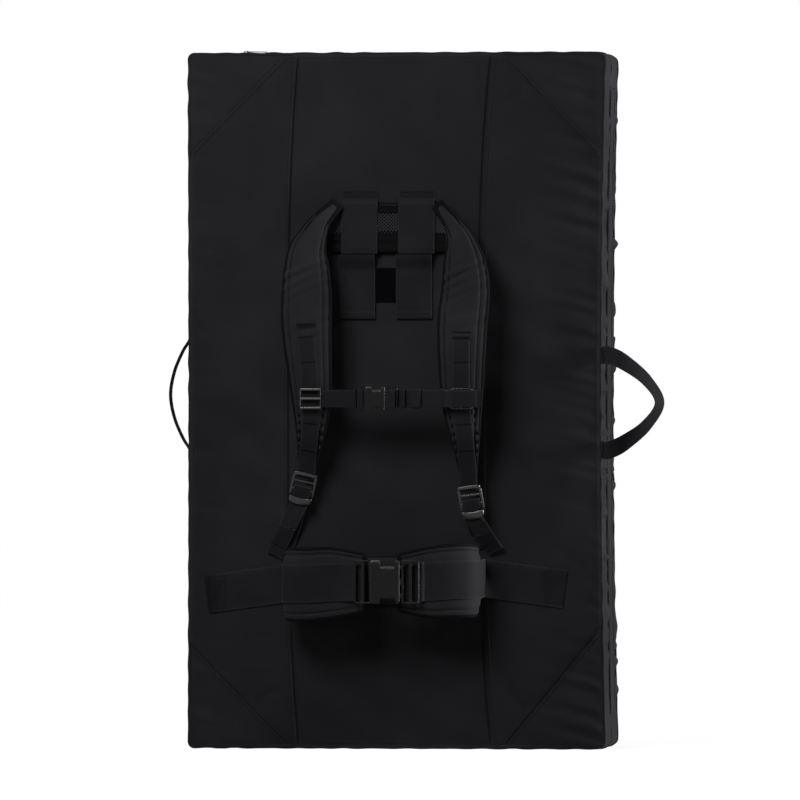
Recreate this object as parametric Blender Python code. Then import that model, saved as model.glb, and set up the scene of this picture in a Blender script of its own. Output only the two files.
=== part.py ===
"""A folding bouldering crash pad, closed and standing on a short edge, with its carry harness in front.

Metres, +Z up, +X to the right when facing the harness, +Y from the harness half to the far half.
The origin is the middle of the harness half's standing edge, on the floor.
Each half is a sewn cover (carry panel, side band, landing panel) round three layers of foam.
The halves fold about a vertical line on the right; two hook-and-loop flaps close them on the left.
"""

import math

import bmesh
import bpy
import numpy as np
from mathutils import Matrix, Vector

# Fits, used all over
fit_gap = 0.0003
face_gap = 0.0005
overrun = 0.010
sharp_angle = math.radians(40)
bend_share = 0.985
bend_room_share = 0.45
bend_reach = 0.0012
cushion_power = 4

# The two halves
pad_width = 0.600
pad_height = 1.000
half_thickness = 0.100
cover_thickness = 0.0012
crown_height = 0.014
crown_power = 3
side_swell = 0.003
stand_cut = 0.0005
draw_left = 0.001
draw_right = 0.007
corner_radius = 0.014
channel_left_x = -0.150
channel_right_x = 0.125
channel_depth = 0.0015
channel_reach = 0.007
landing_foam_thickness = 0.010
base_foam_thickness = 0.010
base_foam_slack = 0.0034
band_depth_shares = (0.0, 0.16, 0.2959, 0.7041, 0.84, 1.0)
row_shares = (0.08, 0.17, 0.28, 0.40, 0.52, 0.64, 0.75, 0.85, 0.93)
coarse_row_shares = (0.2, 0.4, 0.6, 0.8)
between_channels_shares = (0.25, 0.5, 0.75)
beside_channel_shares = (0.5,)
foam_columns_shares = (0.18, 0.38, 0.62, 0.82)

# Corner patches on the carry faces
patch_thickness = 0.0009
patch_reach_x = 0.148
patch_reach_z = 0.150
patch_reach_low_right_z = 0.174
patch_margin = 0.003
patch_steps = 6

# Zips in the top bands
zip_length = 0.460
zip_slit = 0.010
zip_tape_width = 0.026
zip_tape_thickness = 0.0010
zip_coil_width = 0.0045
zip_coil_height = 0.0016
zip_slider_length = 0.013
zip_slider_width = 0.0085
zip_slider_height = 0.0030
zip_puller_length = 0.030
zip_puller_width = 0.007
zip_puller_thickness = 0.0012

# The fold
fold_offset = 0.006
hinge_strip_width = 0.072
hinge_strip_height = 0.900
hinge_strip_thickness = 0.0012
hinge_strip_rows = 11

# Closure flaps
flap_height = 0.168
flap_edge_margin = 0.004
flap_thickness = 0.0016
hook_strip_thickness = 0.0014
flap_hem = 0.006
loop_strip_thickness = 0.0012
flap_axis_offset = 0.0012
flap_root_y = 0.004
flap_rows = 5
flap_strip_margin_share = 0.005
flap_rise_share = 0.75

# Webbing
webbing_thickness = 0.0016
narrow_webbing = 0.025
wide_webbing = 0.052

# Side handles
handle_webbing_thickness = 0.0024
left_handle_z = 0.5085
left_handle_spread = 0.162
left_handle_bow = 0.030
# Each row: away from the band, along the band
left_handle_shares = (
    (0.0, 1.24),
    (0.0, 1.12),
    (0.06, 0.98),
    (0.42, 0.76),
    (0.82, 0.40),
    (1.0, 0.0),
    (0.82, -0.40),
    (0.42, -0.76),
    (0.06, -0.98),
    (0.0, -1.12),
    (0.0, -1.24),
)
right_handle_z = 0.497
right_handle_spread = 0.135
right_handle_bow = 0.087
right_handle_root_gap = 0.0006
right_handle_lift = 0.0004
right_handle_stand = 0.023
right_handle_twist = math.radians(63)
# Each row: out from the seam, forward, along the seam
right_handle_shares = (
    (0.0, 0.0, 1.0),
    (0.16, 0.22, 1.0),
    (0.42, 0.70, 0.84),
    (0.78, 0.95, 0.48),
    (1.0, 1.0, 0.0),
    (0.78, 0.95, -0.48),
    (0.42, 0.70, -0.84),
    (0.16, 0.22, -1.0),
    (0.0, 0.0, -1.0),
)
handle_steps = 22

# The harness, measured from its own middle line
harness_x = -0.010
yoke_half_width = 0.088
yoke_top_z = 0.782
yoke_bottom_z = 0.711
yoke_thickness = 0.008
yoke_mesh_thickness = 0.0018
yoke_mesh_height = 0.026
yoke_mesh_drop = 0.014
face_step = 0.035
height_strap_sewn = 0.010
height_strap_spacing = 0.082
height_strap_rise = 0.018
height_strap_below_yoke = 0.0005
height_strap_seam_gap = 0.0012
height_flap_over = 0.0093
height_flap_ramp = 0.006
height_flap_bend_share = 0.35
height_flap_flat = 0.0764
lower_strap_shift = -0.004
loop_patch_width = 0.112
loop_patch_height = 0.049
loop_patch_drop = 0.004
loop_patch_thickness = 0.0014

# Shoulder straps: the route is in shares of these three sizes
strap_spread = 0.113
strap_drop = 0.360
strap_bow = 0.072
strap_width = 0.070
strap_thickness = 0.013
strap_edge_thickness = 0.005
strap_top_z = 0.765
strap_tip_thickness = 0.006
# Each row: out from the middle line, down from the top, away from the pad, width
left_strap_shares = (
    (0.66, -0.040, 0.40, 0.27),
    (0.85, 0.030, 0.56, 0.40),
    (0.985, 0.135, 0.78, 0.74),
    (0.995, 0.225, 0.88, 0.92),
    (0.990, 0.325, 0.95, 1.00),
    (0.985, 0.455, 1.00, 0.99),
    (0.925, 0.730, 1.00, 0.78),
    (0.950, 0.880, 0.86, 0.54),
    (1.000, 0.970, 0.70, 0.37),
)
right_strap_shares = (
    (0.66, -0.035, 0.40, 0.27),
    (0.84, 0.035, 0.56, 0.34),
    (0.96, 0.105, 0.74, 0.56),
    (1.010, 0.190, 0.85, 0.84),
    (1.030, 0.300, 0.93, 0.96),
    (0.990, 0.455, 1.00, 0.99),
    (0.990, 0.730, 1.00, 0.82),
    (1.025, 0.890, 0.86, 0.56),
    (1.050, 1.020, 0.68, 0.34),
)
strap_steps = 26
strap_across = 6
strap_taper_share = 0.12
daisy_top_z = 0.612
harness_axis_z = 0.778
harness_axis_y = -0.076

# Sternum strap
sternum_drop_share = 0.729
sternum_stand = 0.0852
sternum_slider_length = 0.032
sternum_slider_height = 0.030
sternum_slider_thickness = 0.0030
sternum_slider_bar = 0.0030
sternum_buckle_x = -0.020
sternum_buckle_length = 0.062
sternum_buckle_height = 0.035
sternum_buckle_thickness = 0.009
loop_clearance = 0.0004
slot_clearance = 0.0010
corner_steps = 2

# Ladder locks and adjusters
lock_width = 0.036
lock_length = 0.042
lock_thickness = 0.0040
lock_bar = 0.0045
lock_corner = 0.004
lock_drop = 0.020
lock_tilt_left = math.radians(14)
lock_tilt_right = math.radians(8)
anchor_left_x = -0.158
anchor_right_x = 0.121
anchor_below_left = 0.1248
anchor_below_right = 0.0898
anchor_sewn = 0.020
tail_out_left = 0.038
tail_out_right = 0.030
tail_drop_left = 0.074
tail_drop_right = 0.048
tail_back = 0.018
tail_sag = 0.004

# Hip belt
belt_z = 0.2415
belt_rise_left = -0.003
belt_rise_right = 0.003
belt_tab_drop = 0.0155
belt_tab_shares = (1, 0.75, 0.5, 0.25, 0)
belt_webbing_lift = 0.0008
belt_webbing = 0.055
belt_stand = 0.086
belt_half_width_left = 0.141
belt_half_width_right = 0.130
belt_wing_thickness = 0.012
belt_wing_edge = 0.005
belt_wing_height = 0.104
belt_wing_drop = 0.0015
# Each row: out from the middle line, away from the pad, rise, height
belt_wing_shares = (
    (0.945, 0.27, 1.5, 0.56),
    (0.990, 0.42, 1.3, 0.80),
    (1.000, 0.66, 1.0, 0.96),
    (0.935, 0.86, 1.0, 1.00),
    (0.770, 0.955, 1.0, 1.00),
    (0.520, 0.990, 0.2, 0.97),
    (0.200, 1.000, 0.0, 0.80),
)
belt_wing_steps = 16
belt_wing_across = 6
belt_skip_share = 0.125
belt_tab_length = 0.114
belt_bend = 0.004
belt_axis_y = -0.066
belt_buckle_x = -0.0034
belt_buckle_rise = 0.0
belt_buckle_length = 0.094
belt_buckle_height = 0.062
belt_buckle_thickness = 0.012
belt_buckle_stand = 0.100
lumbar_height = 0.068
lumbar_half_width = 0.120
lumbar_thickness = 0.012
lumbar_rise = 0.000

# A side-release buckle, in shares of its length, height and thickness
buckle_end_share = 0.5
buckle_body_shares = (-0.25, 0.20, 0.22)
buckle_ladder_share = 0.35
buckle_slot_shares = (0.295, 0.430)
buckle_slot_half_share = 0.035
buckle_entry_share = 0.54
buckle_slot_height_share = 0.92
buckle_corner_share = 0.06
buckle_join_share = 0.03
buckle_cavity_share = 0.80
buckle_cavity_end_share = -0.20
buckle_hollow_share = 0.50
buckle_window_share = 0.35
buckle_window_ends_shares = (-0.10, 0.14)
buckle_prong_thickness_share = 0.38
buckle_prong_shares = ((0.27, 0.38, -0.16), (-0.38, -0.27, -0.16), (-0.08, 0.08, -0.10))

colours = {
    "pad_nylon": ("232427", 0.72),
    "patch_nylon": ("26272a", 0.66),
    "landing_nylon": ("2b2c2f", 0.78),
    "band_nylon": ("2a2b2e", 0.55),
    "closed_cell_foam": ("33353a", 0.85),
    "open_cell_foam": ("8f969e", 0.95),
    "webbing": ("1d1e21", 0.68),
    "strap_cloth": ("222327", 0.70),
    "spacer_mesh": ("17181a", 0.80),
    "hook_and_loop": ("101113", 0.95),
    "acetal": ("1b1b1d", 0.32),
    "zip_metal": ("3a3b3d", 0.35),
}

# Places that follow from the sizes above
half_width = pad_width / 2
fold_y = half_thickness / 2 + fit_gap / 2
rim_low_z = side_swell - stand_cut
rim_high_z = pad_height - side_swell + stand_cut
side_flat = side_swell - stand_cut
fold_x = half_width + side_flat + fold_offset
over_yoke = yoke_thickness + yoke_mesh_thickness + 2 * fit_gap
height_strap_top_z = yoke_top_z + height_strap_rise
height_strap_seam_z = yoke_bottom_z - height_strap_below_yoke
height_flap_top_z = height_strap_seam_z - height_strap_seam_gap
height_flap_bend_z = height_flap_top_z - height_flap_over
height_flap_land_z = height_flap_bend_z - height_flap_ramp
height_flap_end_z = height_flap_land_z - height_flap_flat
loop_patch_top_z = height_flap_land_z - loop_patch_drop
loop_patch_bottom_z = loop_patch_top_z - loop_patch_height
foam_inset = cover_thickness + face_gap + zip_tape_thickness
right_handle_x = half_width - draw_right + right_handle_root_gap
sternum_z = strap_top_z - sternum_drop_share * strap_drop


def clear_scene():
    for obj in list(bpy.data.objects):
        bpy.data.objects.remove(obj, do_unlink=True)


def linear(hex_colour):
    channels = [int(hex_colour[i : i + 2], 16) / 255 for i in (0, 2, 4)]
    return [c / 12.92 if c <= 0.04045 else ((c + 0.055) / 1.055) ** 2.4 for c in channels]


def make_material(name):
    colour, roughness = colours[name]
    material = bpy.data.materials.new(name)
    material.use_nodes = True
    shader = material.node_tree.nodes["Principled BSDF"]
    shader.inputs["Base Color"].default_value = (*linear(colour), 1.0)
    shader.inputs["Roughness"].default_value = roughness
    shader.inputs["Metallic"].default_value = 1.0 if name == "zip_metal" else 0.0
    return material


def add_object(name, mesh, material, body, smooth=True):
    """Puts a mesh that is in world places under its body's empty, with its origin on the body's joint."""
    if smooth:
        mesh.shade_smooth()
        mesh.set_sharp_from_angle(angle=sharp_angle)
    mesh.transform(Matrix.Translation(-body.location))
    obj = bpy.data.objects.new(name, mesh)
    obj.data.materials.append(make_material(material) if material not in bpy.data.materials
                              else bpy.data.materials[material])
    obj.parent = body
    bpy.context.collection.objects.link(obj)
    return obj


def make_body(name, place):
    """An empty on the joint that carries a group of pieces."""
    body = bpy.data.objects.new(name, None)
    body.location = Vector(place)
    bpy.context.collection.objects.link(body)
    return body


def mesh_from(name, points, faces):
    """A closed mesh with its faces turned outwards."""
    work = bmesh.new()
    verts = [work.verts.new(p) for p in points]
    for face in faces:
        work.faces.new([verts[i] for i in face])
    bmesh.ops.recalc_face_normals(work, faces=work.faces)
    mesh = bpy.data.meshes.new(name)
    work.to_mesh(mesh)
    work.free()
    return mesh


def slab(name, front, back):
    """A closed solid between two grids of points of one shape (rows, columns, 3)."""
    rows, columns = front.shape[:2]
    index = np.arange(rows * columns).reshape(rows, columns)
    quads = np.stack([index[:-1, :-1], index[:-1, 1:], index[1:, 1:], index[1:, :-1]], axis=-1).reshape(-1, 4)
    rim = np.concatenate([index[0, :-1], index[:-1, -1], index[-1, :0:-1], index[:0:-1, 0]])
    following = np.roll(rim, -1)
    other = rows * columns
    sides = np.stack([rim, following, following + other, rim + other], axis=-1)
    faces = np.concatenate([quads, quads[:, ::-1] + other, sides])
    points = np.concatenate([front.reshape(-1, 3), back.reshape(-1, 3)])
    return mesh_from(name, points.tolist(), faces.tolist())


def tube_wall(name, outer, inner):
    """A closed wall between two grids (across, around, 3) that close on themselves along the second axis."""
    across, around = outer.shape[:2]
    index = np.arange(across * around).reshape(across, around)
    following = np.roll(index, -1, axis=1)
    quads = np.stack([index[:-1], following[:-1], following[1:], index[1:]], axis=-1).reshape(-1, 4)
    other = across * around
    ends = [
        np.stack([index[k], following[k], following[k] + other, index[k] + other], axis=-1) for k in (0, -1)
    ]
    faces = np.concatenate([quads, quads[:, ::-1] + other, *ends])
    points = np.concatenate([outer.reshape(-1, 3), inner.reshape(-1, 3)])
    return mesh_from(name, points.tolist(), faces.tolist())


def box_mesh(name, low, high):
    work = bmesh.new()
    size = Vector(high) - Vector(low)
    centre = (Vector(high) + Vector(low)) / 2
    place = Matrix.Translation(centre) @ Matrix.Diagonal((*size, 1))
    bmesh.ops.create_cube(work, size=1, matrix=place)
    mesh = bpy.data.meshes.new(name)
    work.to_mesh(mesh)
    work.free()
    return mesh


def cut(obj, low, high, turn=None):
    """Cuts a box, given in world places, out of an object; turn is a matrix applied to the box."""
    mesh = box_mesh(obj.name + "_cutter", low, high)
    if turn is not None:
        mesh.transform(turn)
    cutter = bpy.data.objects.new(obj.name + "_cutter", mesh)
    cutter.hide_render = True
    cutter.display_type = "WIRE"
    bpy.context.collection.objects.link(cutter)
    modifier = obj.modifiers.new("Cut", "BOOLEAN")
    modifier.operation = "DIFFERENCE"
    modifier.object = cutter


def smooth_path(places, count):
    """Points spread along a smooth curve through the given rows (Catmull-Rom)."""
    rows = np.asarray(places, float)
    rows = np.concatenate([[2 * rows[0] - rows[1]], rows, [2 * rows[-1] - rows[-2]]])
    spans = len(rows) - 3
    where = np.linspace(0, spans, count)
    first = np.minimum(where.astype(int), spans - 1)
    t = (where - first)[:, None]
    a, b, c, d = (rows[first + k] for k in range(4))
    return (2 * b + (c - a) * t + (2 * a - 5 * b + 4 * c - d) * t**2 + (3 * b - a - 3 * c + d) * t**3) / 2


def unit(vectors):
    return vectors / np.linalg.norm(vectors, axis=-1, keepdims=True)


def bent_path(places, reach):
    """Straight runs between the given rows, each sharp corner rounded off over reach."""
    rows = np.asarray(places, float)
    path = [rows[0]]
    for before, here, after in zip(rows[:-2], rows[1:-1], rows[2:]):
        first, second = before - here, after - here
        lengths = [np.linalg.norm(run[:3]) for run in (first, second)]
        if np.dot(first[:3], second[:3]) / (lengths[0] * lengths[1]) < -bend_share:
            path.append(here)
            continue
        start = here + first * min(reach / lengths[0], bend_room_share)
        end = here + second * min(reach / lengths[1], bend_room_share)
        path += [start, (start + 2 * here + end) / 4, end]
    path.append(rows[-1])
    return np.array(path)


def tangents(path):
    runs = unit(np.diff(path, axis=0))
    return unit(np.concatenate([runs[:1], runs[:-1] + runs[1:], runs[-1:]]))


def strip(name, path, across, width, thickness, edge=None, steps=1):
    """Webbing or padding along a path: across is the width direction, edge the thickness at the sides."""
    count = len(path)
    width = np.broadcast_to(np.asarray(width, float), (count,))
    thickness = np.broadcast_to(np.asarray(thickness, float), (count,))
    edge = thickness if edge is None else np.broadcast_to(np.asarray(edge, float), (count,))
    tangent = tangents(path)
    across = unit(np.broadcast_to(np.asarray(across, float), path.shape))
    normal = unit(np.cross(tangent, across))
    across = np.cross(normal, tangent)
    share = np.linspace(-1, 1, steps + 1)
    reach = share[None, :] * width[:, None] / 2
    half = (edge[:, None] + (thickness - edge)[:, None] * (1 - share[None, :] ** cushion_power)) / 2
    middle = path[:, None, :] + across[:, None, :] * reach[..., None]
    lift = normal[:, None, :] * half[..., None]
    return slab(name, middle + lift, middle - lift)


# The cover of a half


def bell(z):
    """1 halfway up, 0 at the rims."""
    return 1 - (2 * z / pad_height - 1) ** 2


def rim_left(z):
    return -half_width + draw_left * bell(z)


def rim_right(z):
    return half_width - draw_right * bell(z)


def pillow(x, z):
    """How far the filled carry face stands out over its rim."""
    u = np.abs(x / half_width)
    v = np.abs(2 * z / pad_height - 1)
    return crown_height * np.maximum(0, 1 - u**crown_power) * np.maximum(0, 1 - v**crown_power)


def crown(x, z):
    """The pillow with the two sewn channels drawn into it."""
    rise = pillow(x, z)
    for channel in (channel_left_x, channel_right_x):
        rise = rise - channel_depth * np.maximum(0, 1 - np.abs(x - channel) / channel_reach)
    return np.maximum(rise, 0)


def spread(start, end, shares):
    return [start + (end - start) * share for share in shares]


def panel_columns():
    """Columns of a carry panel: close at the corners and at the two channels."""
    low = -half_width + corner_radius
    high = half_width - corner_radius
    left = [channel_left_x - channel_reach, channel_left_x, channel_left_x + channel_reach]
    right = [channel_right_x - channel_reach, channel_right_x, channel_right_x + channel_reach]
    return [
        -half_width,
        low,
        *spread(low, left[0], beside_channel_shares),
        *left,
        *spread(left[-1], right[0], between_channels_shares),
        *right,
        *spread(right[-1], high, beside_channel_shares),
        high,
        half_width,
    ]


def panel_rows(shares):
    low = rim_low_z + corner_radius
    high = rim_high_z - corner_radius
    return [rim_low_z, low, *spread(low, high, shares), high, rim_high_z]


def plan(columns, rows, inset):
    """X and Z of a grid that fills the pad's outline, drawn in by inset, with its corners rounded."""
    x, z = np.meshgrid(np.asarray(columns, float), np.asarray(rows, float))
    left = rim_left(z) + inset
    right = rim_right(z) - inset
    x = left + (x + half_width) / pad_width * (right - left)
    z = rim_low_z + inset + (z - rim_low_z) * (rim_high_z - rim_low_z - 2 * inset) / (rim_high_z - rim_low_z)
    trim = corner_radius * (1 - math.cos(math.pi / 4))
    for i in (0, -1):
        for j in (0, -1):
            x[i, j] += trim if j == 0 else -trim
            z[i, j] += trim if i == 0 else -trim
    return x, z


def rim_of(grid):
    """The border of a grid as one loop."""
    return np.concatenate([grid[0, :-1], grid[:-1, -1], grid[-1, :0:-1], grid[:0:-1, 0]])


def depth_y(side, depth):
    """Y of a place that lies depth away from the folding plane, on the near (-1) or far (+1) side."""
    return fold_y + side * (fit_gap / 2 + depth)


def with_depth(x, z, side, depth):
    y = depth_y(side, np.broadcast_to(depth, x.shape))
    return np.stack([x, y, z], axis=-1)


def make_carry_panel(name, side, body):
    x, z = plan(panel_columns(), panel_rows(row_shares), 0)
    rise = crown(x, z)
    inner = half_thickness - cover_thickness + rise
    mesh = slab(name, with_depth(x, z, side, inner + cover_thickness), with_depth(x, z, side, inner))
    add_object(name, mesh, "pad_nylon", body)


def swell(share):
    return min(side_swell * (1 - (2 * share - 1) ** 2), side_flat)


def make_side_band(name, side, body):
    """The gusset round a half: it swells between its two seams and is cut flat where it stands."""
    depth_low = cover_thickness + fit_gap
    depth_high = half_thickness - cover_thickness - fit_gap
    walls = []
    for wall in (0, cover_thickness):
        loops = []
        for share in band_depth_shares:
            x, z = plan(panel_columns(), panel_rows(row_shares), wall - swell(share))
            depth = depth_low + (depth_high - depth_low) * share
            loops.append(rim_of(with_depth(x, z, side, depth)))
        walls.append(np.stack(loops))
    obj = add_object(name, tube_wall(name, *walls), "band_nylon", body)
    middle = depth_y(side, half_thickness / 2)
    reach = zip_length / 2
    cut(
        obj,
        (-reach, middle - zip_slit / 2, pad_height - overrun),
        (reach, middle + zip_slit / 2, pad_height + overrun),
    )


def make_flat_layer(name, side, body, depths, material, inset):
    """A flat layer of the half, such as its landing panel or a sheet of foam."""
    columns = [-half_width, -half_width + corner_radius, half_width - corner_radius, half_width]
    x, z = plan(columns, panel_rows(coarse_row_shares), inset)
    mesh = slab(name, with_depth(x, z, side, depths[1]), with_depth(x, z, side, depths[0]))
    add_object(name, mesh, material, body)


def make_base_foam(name, side, body, start):
    """The sheet under the carry panel: it takes the crown, flat on its inner side."""
    low = -half_width + corner_radius
    high = half_width - corner_radius
    columns = [-half_width, low, *spread(low, high, foam_columns_shares), high, half_width]
    x, z = plan(columns, panel_rows(coarse_row_shares), foam_inset)
    cover = half_thickness - cover_thickness - face_gap
    rise = np.maximum(pillow(x, z) - base_foam_slack, 0)
    mesh = slab(name, with_depth(x, z, side, cover + rise), with_depth(x, z, side, start))
    add_object(name, mesh, "closed_cell_foam", body)


def make_zip(prefix, side, body, slider_body):
    """A coil zip whose tape lies under the slit in the top band, with its slider in the slit."""
    middle = depth_y(side, half_thickness / 2)
    tape_top = pad_height - cover_thickness - fit_gap
    tape_low = tape_top - zip_tape_thickness
    reach = zip_length / 2 - fit_gap
    coil_top = tape_top + zip_coil_height
    profile = [
        (-zip_tape_width / 2, tape_low),
        (zip_tape_width / 2, tape_low),
        (zip_tape_width / 2, tape_top),
        (zip_coil_width / 2, tape_top),
        (zip_coil_width / 2, coil_top),
        (-zip_coil_width / 2, coil_top),
        (-zip_coil_width / 2, tape_top),
        (-zip_tape_width / 2, tape_top),
    ]
    name = prefix + "_zip_tape"
    mesh = prism(name, profile, middle, -reach, reach)
    add_object(name, mesh, "webbing", body, smooth=False)
    slot = zip_coil_width / 2 + fit_gap
    low = tape_top + fit_gap
    roof = coil_top + fit_gap
    high = low + zip_slider_height
    outer = zip_slider_width / 2
    profile = [
        (-outer, low),
        (-slot, low),
        (-slot, roof),
        (slot, roof),
        (slot, low),
        (outer, low),
        (outer, high),
        (-outer, high),
    ]
    name = prefix + "_zip_slider"
    start = -reach + face_gap
    mesh = prism(name, profile, middle, start, start + zip_slider_length)
    slider = add_object(name, mesh, "zip_metal", slider_body, smooth=False)
    root = start + zip_slider_length / 2
    puller_low = (root, middle - zip_puller_width / 2, high - zip_puller_thickness / 2)
    puller_high = (
        root + zip_puller_length,
        middle + zip_puller_width / 2,
        high + zip_puller_thickness / 2,
    )
    join(slider, box_mesh(name + "_puller", puller_low, puller_high))


def prism(name, profile, middle, start, end):
    """A profile in Y and Z, carried along X."""
    count = len(profile)
    points = [(x, middle + y, z) for x in (start, end) for y, z in profile]
    faces = [list(range(count)), list(range(2 * count - 1, count - 1, -1))]
    faces += [[i, (i + 1) % count, count + (i + 1) % count, count + i] for i in range(count)]
    return mesh_from(name, points, faces)


def join(obj, mesh):
    """Unites a mesh in world places with an object."""
    other = bpy.data.objects.new(mesh.name, mesh)
    other.hide_render = True
    other.display_type = "WIRE"
    bpy.context.collection.objects.link(other)
    modifier = obj.modifiers.new("Join", "BOOLEAN")
    modifier.operation = "UNION"
    modifier.object = other


def make_corner_patch(name, side, body, right, top):
    """A reinforced corner: a second layer of cloth with its long edge sewn across the corner."""
    share = np.linspace(0, 1, patch_steps + 1)
    u, v = np.meshgrid(share, share)
    run = v * (1 - u)
    reach_z = patch_reach_low_right_z if right and not top else patch_reach_z
    x = patch_margin + (patch_reach_x - patch_margin) * run
    z = patch_margin + (reach_z - patch_margin) * v * u
    corner = np.maximum(0, corner_radius - x - z) / 2
    x = x + corner
    z = z + corner
    z = rim_high_z - z if top else rim_low_z + z
    x = rim_right(z) - x if right else rim_left(z) + x
    base = half_thickness + face_gap + crown(x, z)
    outer = with_depth(x, z, side, base + patch_thickness)
    inner = with_depth(x, z, side, base)
    mesh = slab(name, outer[1:], inner[1:])
    add_object(name, mesh, "patch_nylon", body)


def make_half(prefix, side, body, slider_body):
    make_carry_panel(prefix + "_carry_panel", side, body)
    make_side_band(prefix + "_side_band", side, body)
    make_flat_layer(prefix + "_landing_panel", side, body, (0, cover_thickness), "landing_nylon", 0)
    top = cover_thickness + face_gap
    core = top + landing_foam_thickness + fit_gap
    base = half_thickness - cover_thickness - face_gap - base_foam_thickness
    layers = (
        ("_landing_foam", (top, core - fit_gap), "closed_cell_foam"),
        ("_core_foam", (core, base), "open_cell_foam"),
    )
    for suffix, depths, material in layers:
        make_flat_layer(prefix + suffix, side, body, depths, material, foam_inset)
    make_base_foam(prefix + "_base_foam", side, body, base + fit_gap)
    make_zip(prefix, side, body, slider_body)


# What joins the halves


def face_y(x, z, lift):
    """Y of a place that stands lift in front of the harness half's carry panel."""
    return depth_y(-1, half_thickness + pillow(x, z) + face_gap + lift)


def on_face(x, z, lift):
    return np.array((x, face_y(x, z, lift), z))


def face_across(x, z, way, width):
    """Direction across a piece of webbing that lies on the carry face; way is across it in X and Z."""
    step_x, step_z = np.array(way) * width / 2
    return unit(on_face(x + step_x, z + step_z, 0) - on_face(x - step_x, z - step_z, 0))


def side_slab(name, z_stations, y_stations, right, lifts, thickness, material, body):
    """A strip of cloth along a side of the pad; lifts say how far its back stands off the band's flat."""
    y, z = np.meshgrid(np.asarray(y_stations, float), np.asarray(z_stations, float))
    lift = np.broadcast_to(np.asarray(lifts, float), y.shape)
    turn = 1 if right else -1
    rim = rim_right(z) if right else rim_left(z)
    inner = rim + turn * (side_flat + fit_gap + lift)
    outer = inner + turn * thickness
    mesh = slab(name, np.stack([outer, y, z], axis=-1), np.stack([inner, y, z], axis=-1))
    return add_object(name, mesh, material, body)


def make_hinge_strip(body):
    middle = pad_height / 2
    stations = np.linspace(middle - hinge_strip_height / 2, middle + hinge_strip_height / 2, hinge_strip_rows)
    reach = hinge_strip_width / 2
    columns = (fold_y - reach, fold_y, fold_y + reach)
    side_slab("hinge_strip", stations, columns, True, 0, hinge_strip_thickness, "band_nylon", body)


def make_closure_flap(suffix, middle_z, flap_body, far_body):
    """A flap sewn to the harness half; its hook strip holds the loop strip on the far half's band."""
    low = middle_z - flap_height / 2
    high = middle_z + flap_height / 2
    low_share = band_depth_shares[2] + flap_strip_margin_share
    high_share = band_depth_shares[3] - flap_strip_margin_share
    strip_y = [depth_y(1, half_thickness * share) for share in (low_share, high_share)]
    bottom_of_hook = loop_strip_thickness + fit_gap
    bottom_of_flap = bottom_of_hook + hook_strip_thickness + fit_gap
    stations = np.linspace(low, high, flap_rows)
    columns = [flap_root_y, fold_y, strip_y[0], strip_y[1] + flap_hem]
    lifts = [0, bottom_of_flap * flap_rise_share, bottom_of_flap, bottom_of_flap]
    side_slab(
        "closure_flap_" + suffix, stations, columns, False, lifts, flap_thickness, "pad_nylon", flap_body
    )
    stations = np.linspace(low + flap_hem, high - flap_hem, flap_rows)
    side_slab(
        "closure_hook_" + suffix, stations, strip_y, False, bottom_of_hook, hook_strip_thickness,
        "hook_and_loop", flap_body,
    )
    side_slab(
        "closure_loop_" + suffix, stations, strip_y, False, 0, loop_strip_thickness, "hook_and_loop", far_body
    )


def make_left_handle(body):
    """A webbing loop sewn flat to the side band, bowed outwards."""
    root = rim_left(left_handle_z) - side_flat - fit_gap - handle_webbing_thickness / 2
    rows = [
        (root - out * left_handle_bow, 0, left_handle_z + along * left_handle_spread / 2)
        for out, along in left_handle_shares
    ]
    path = smooth_path(rows, handle_steps)
    mesh = strip("left_handle", path, (0, 1, 0), narrow_webbing, handle_webbing_thickness)
    add_object("left_handle", mesh, "webbing", body)


def make_right_handle(body):
    """A webbing loop sewn into the seam: it leaves flat to the carry face and twists by its far end."""
    root_y = float(body.location.y)
    rows = [
        (
            right_handle_x + out * right_handle_bow,
            root_y - stand * right_handle_stand,
            right_handle_z + along * right_handle_spread / 2,
        )
        for out, stand, along in right_handle_shares
    ]
    path = smooth_path(rows, handle_steps)
    tangent = tangents(path)
    flat = unit(np.cross(tangent, (0, 1, 0)))
    twist = right_handle_twist * np.sin(math.pi * np.linspace(0, 1, handle_steps)) ** 2
    across = flat * np.cos(twist)[:, None] + np.array((0, 1, 0)) * np.sin(twist)[:, None]
    mesh = strip("right_handle", path, across, narrow_webbing, handle_webbing_thickness)
    add_object("right_handle", mesh, "webbing", body)


# The harness


def face_slab(name, x_stations, z_stations, lift, thickness, material, body):
    """A flat piece lying on the carry panel or on what is sewn to it."""
    x, z = np.meshgrid(np.asarray(x_stations, float), np.asarray(z_stations, float))
    thickness = np.broadcast_to(thickness, x.shape)
    back = np.stack([x, face_y(x, z, lift), z], axis=-1)
    front = np.stack([x, face_y(x, z, lift + thickness), z], axis=-1)
    return add_object(name, slab(name, front, back), material, body)


def stations_between(low, high, longest):
    """Evenly spaced places, no further apart than longest."""
    return np.linspace(low, high, max(2, math.ceil((high - low) / longest) + 1))


def cushion_profile(columns, rows, thickness, edge):
    """Thickness of a cushion over its grid: full in the middle, edge at its sides."""
    u = np.linspace(-1, 1, len(columns))[None, :]
    v = np.linspace(-1, 1, len(rows))[:, None]
    return edge + (thickness - edge) * (1 - u**cushion_power) * (1 - v**cushion_power)


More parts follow.
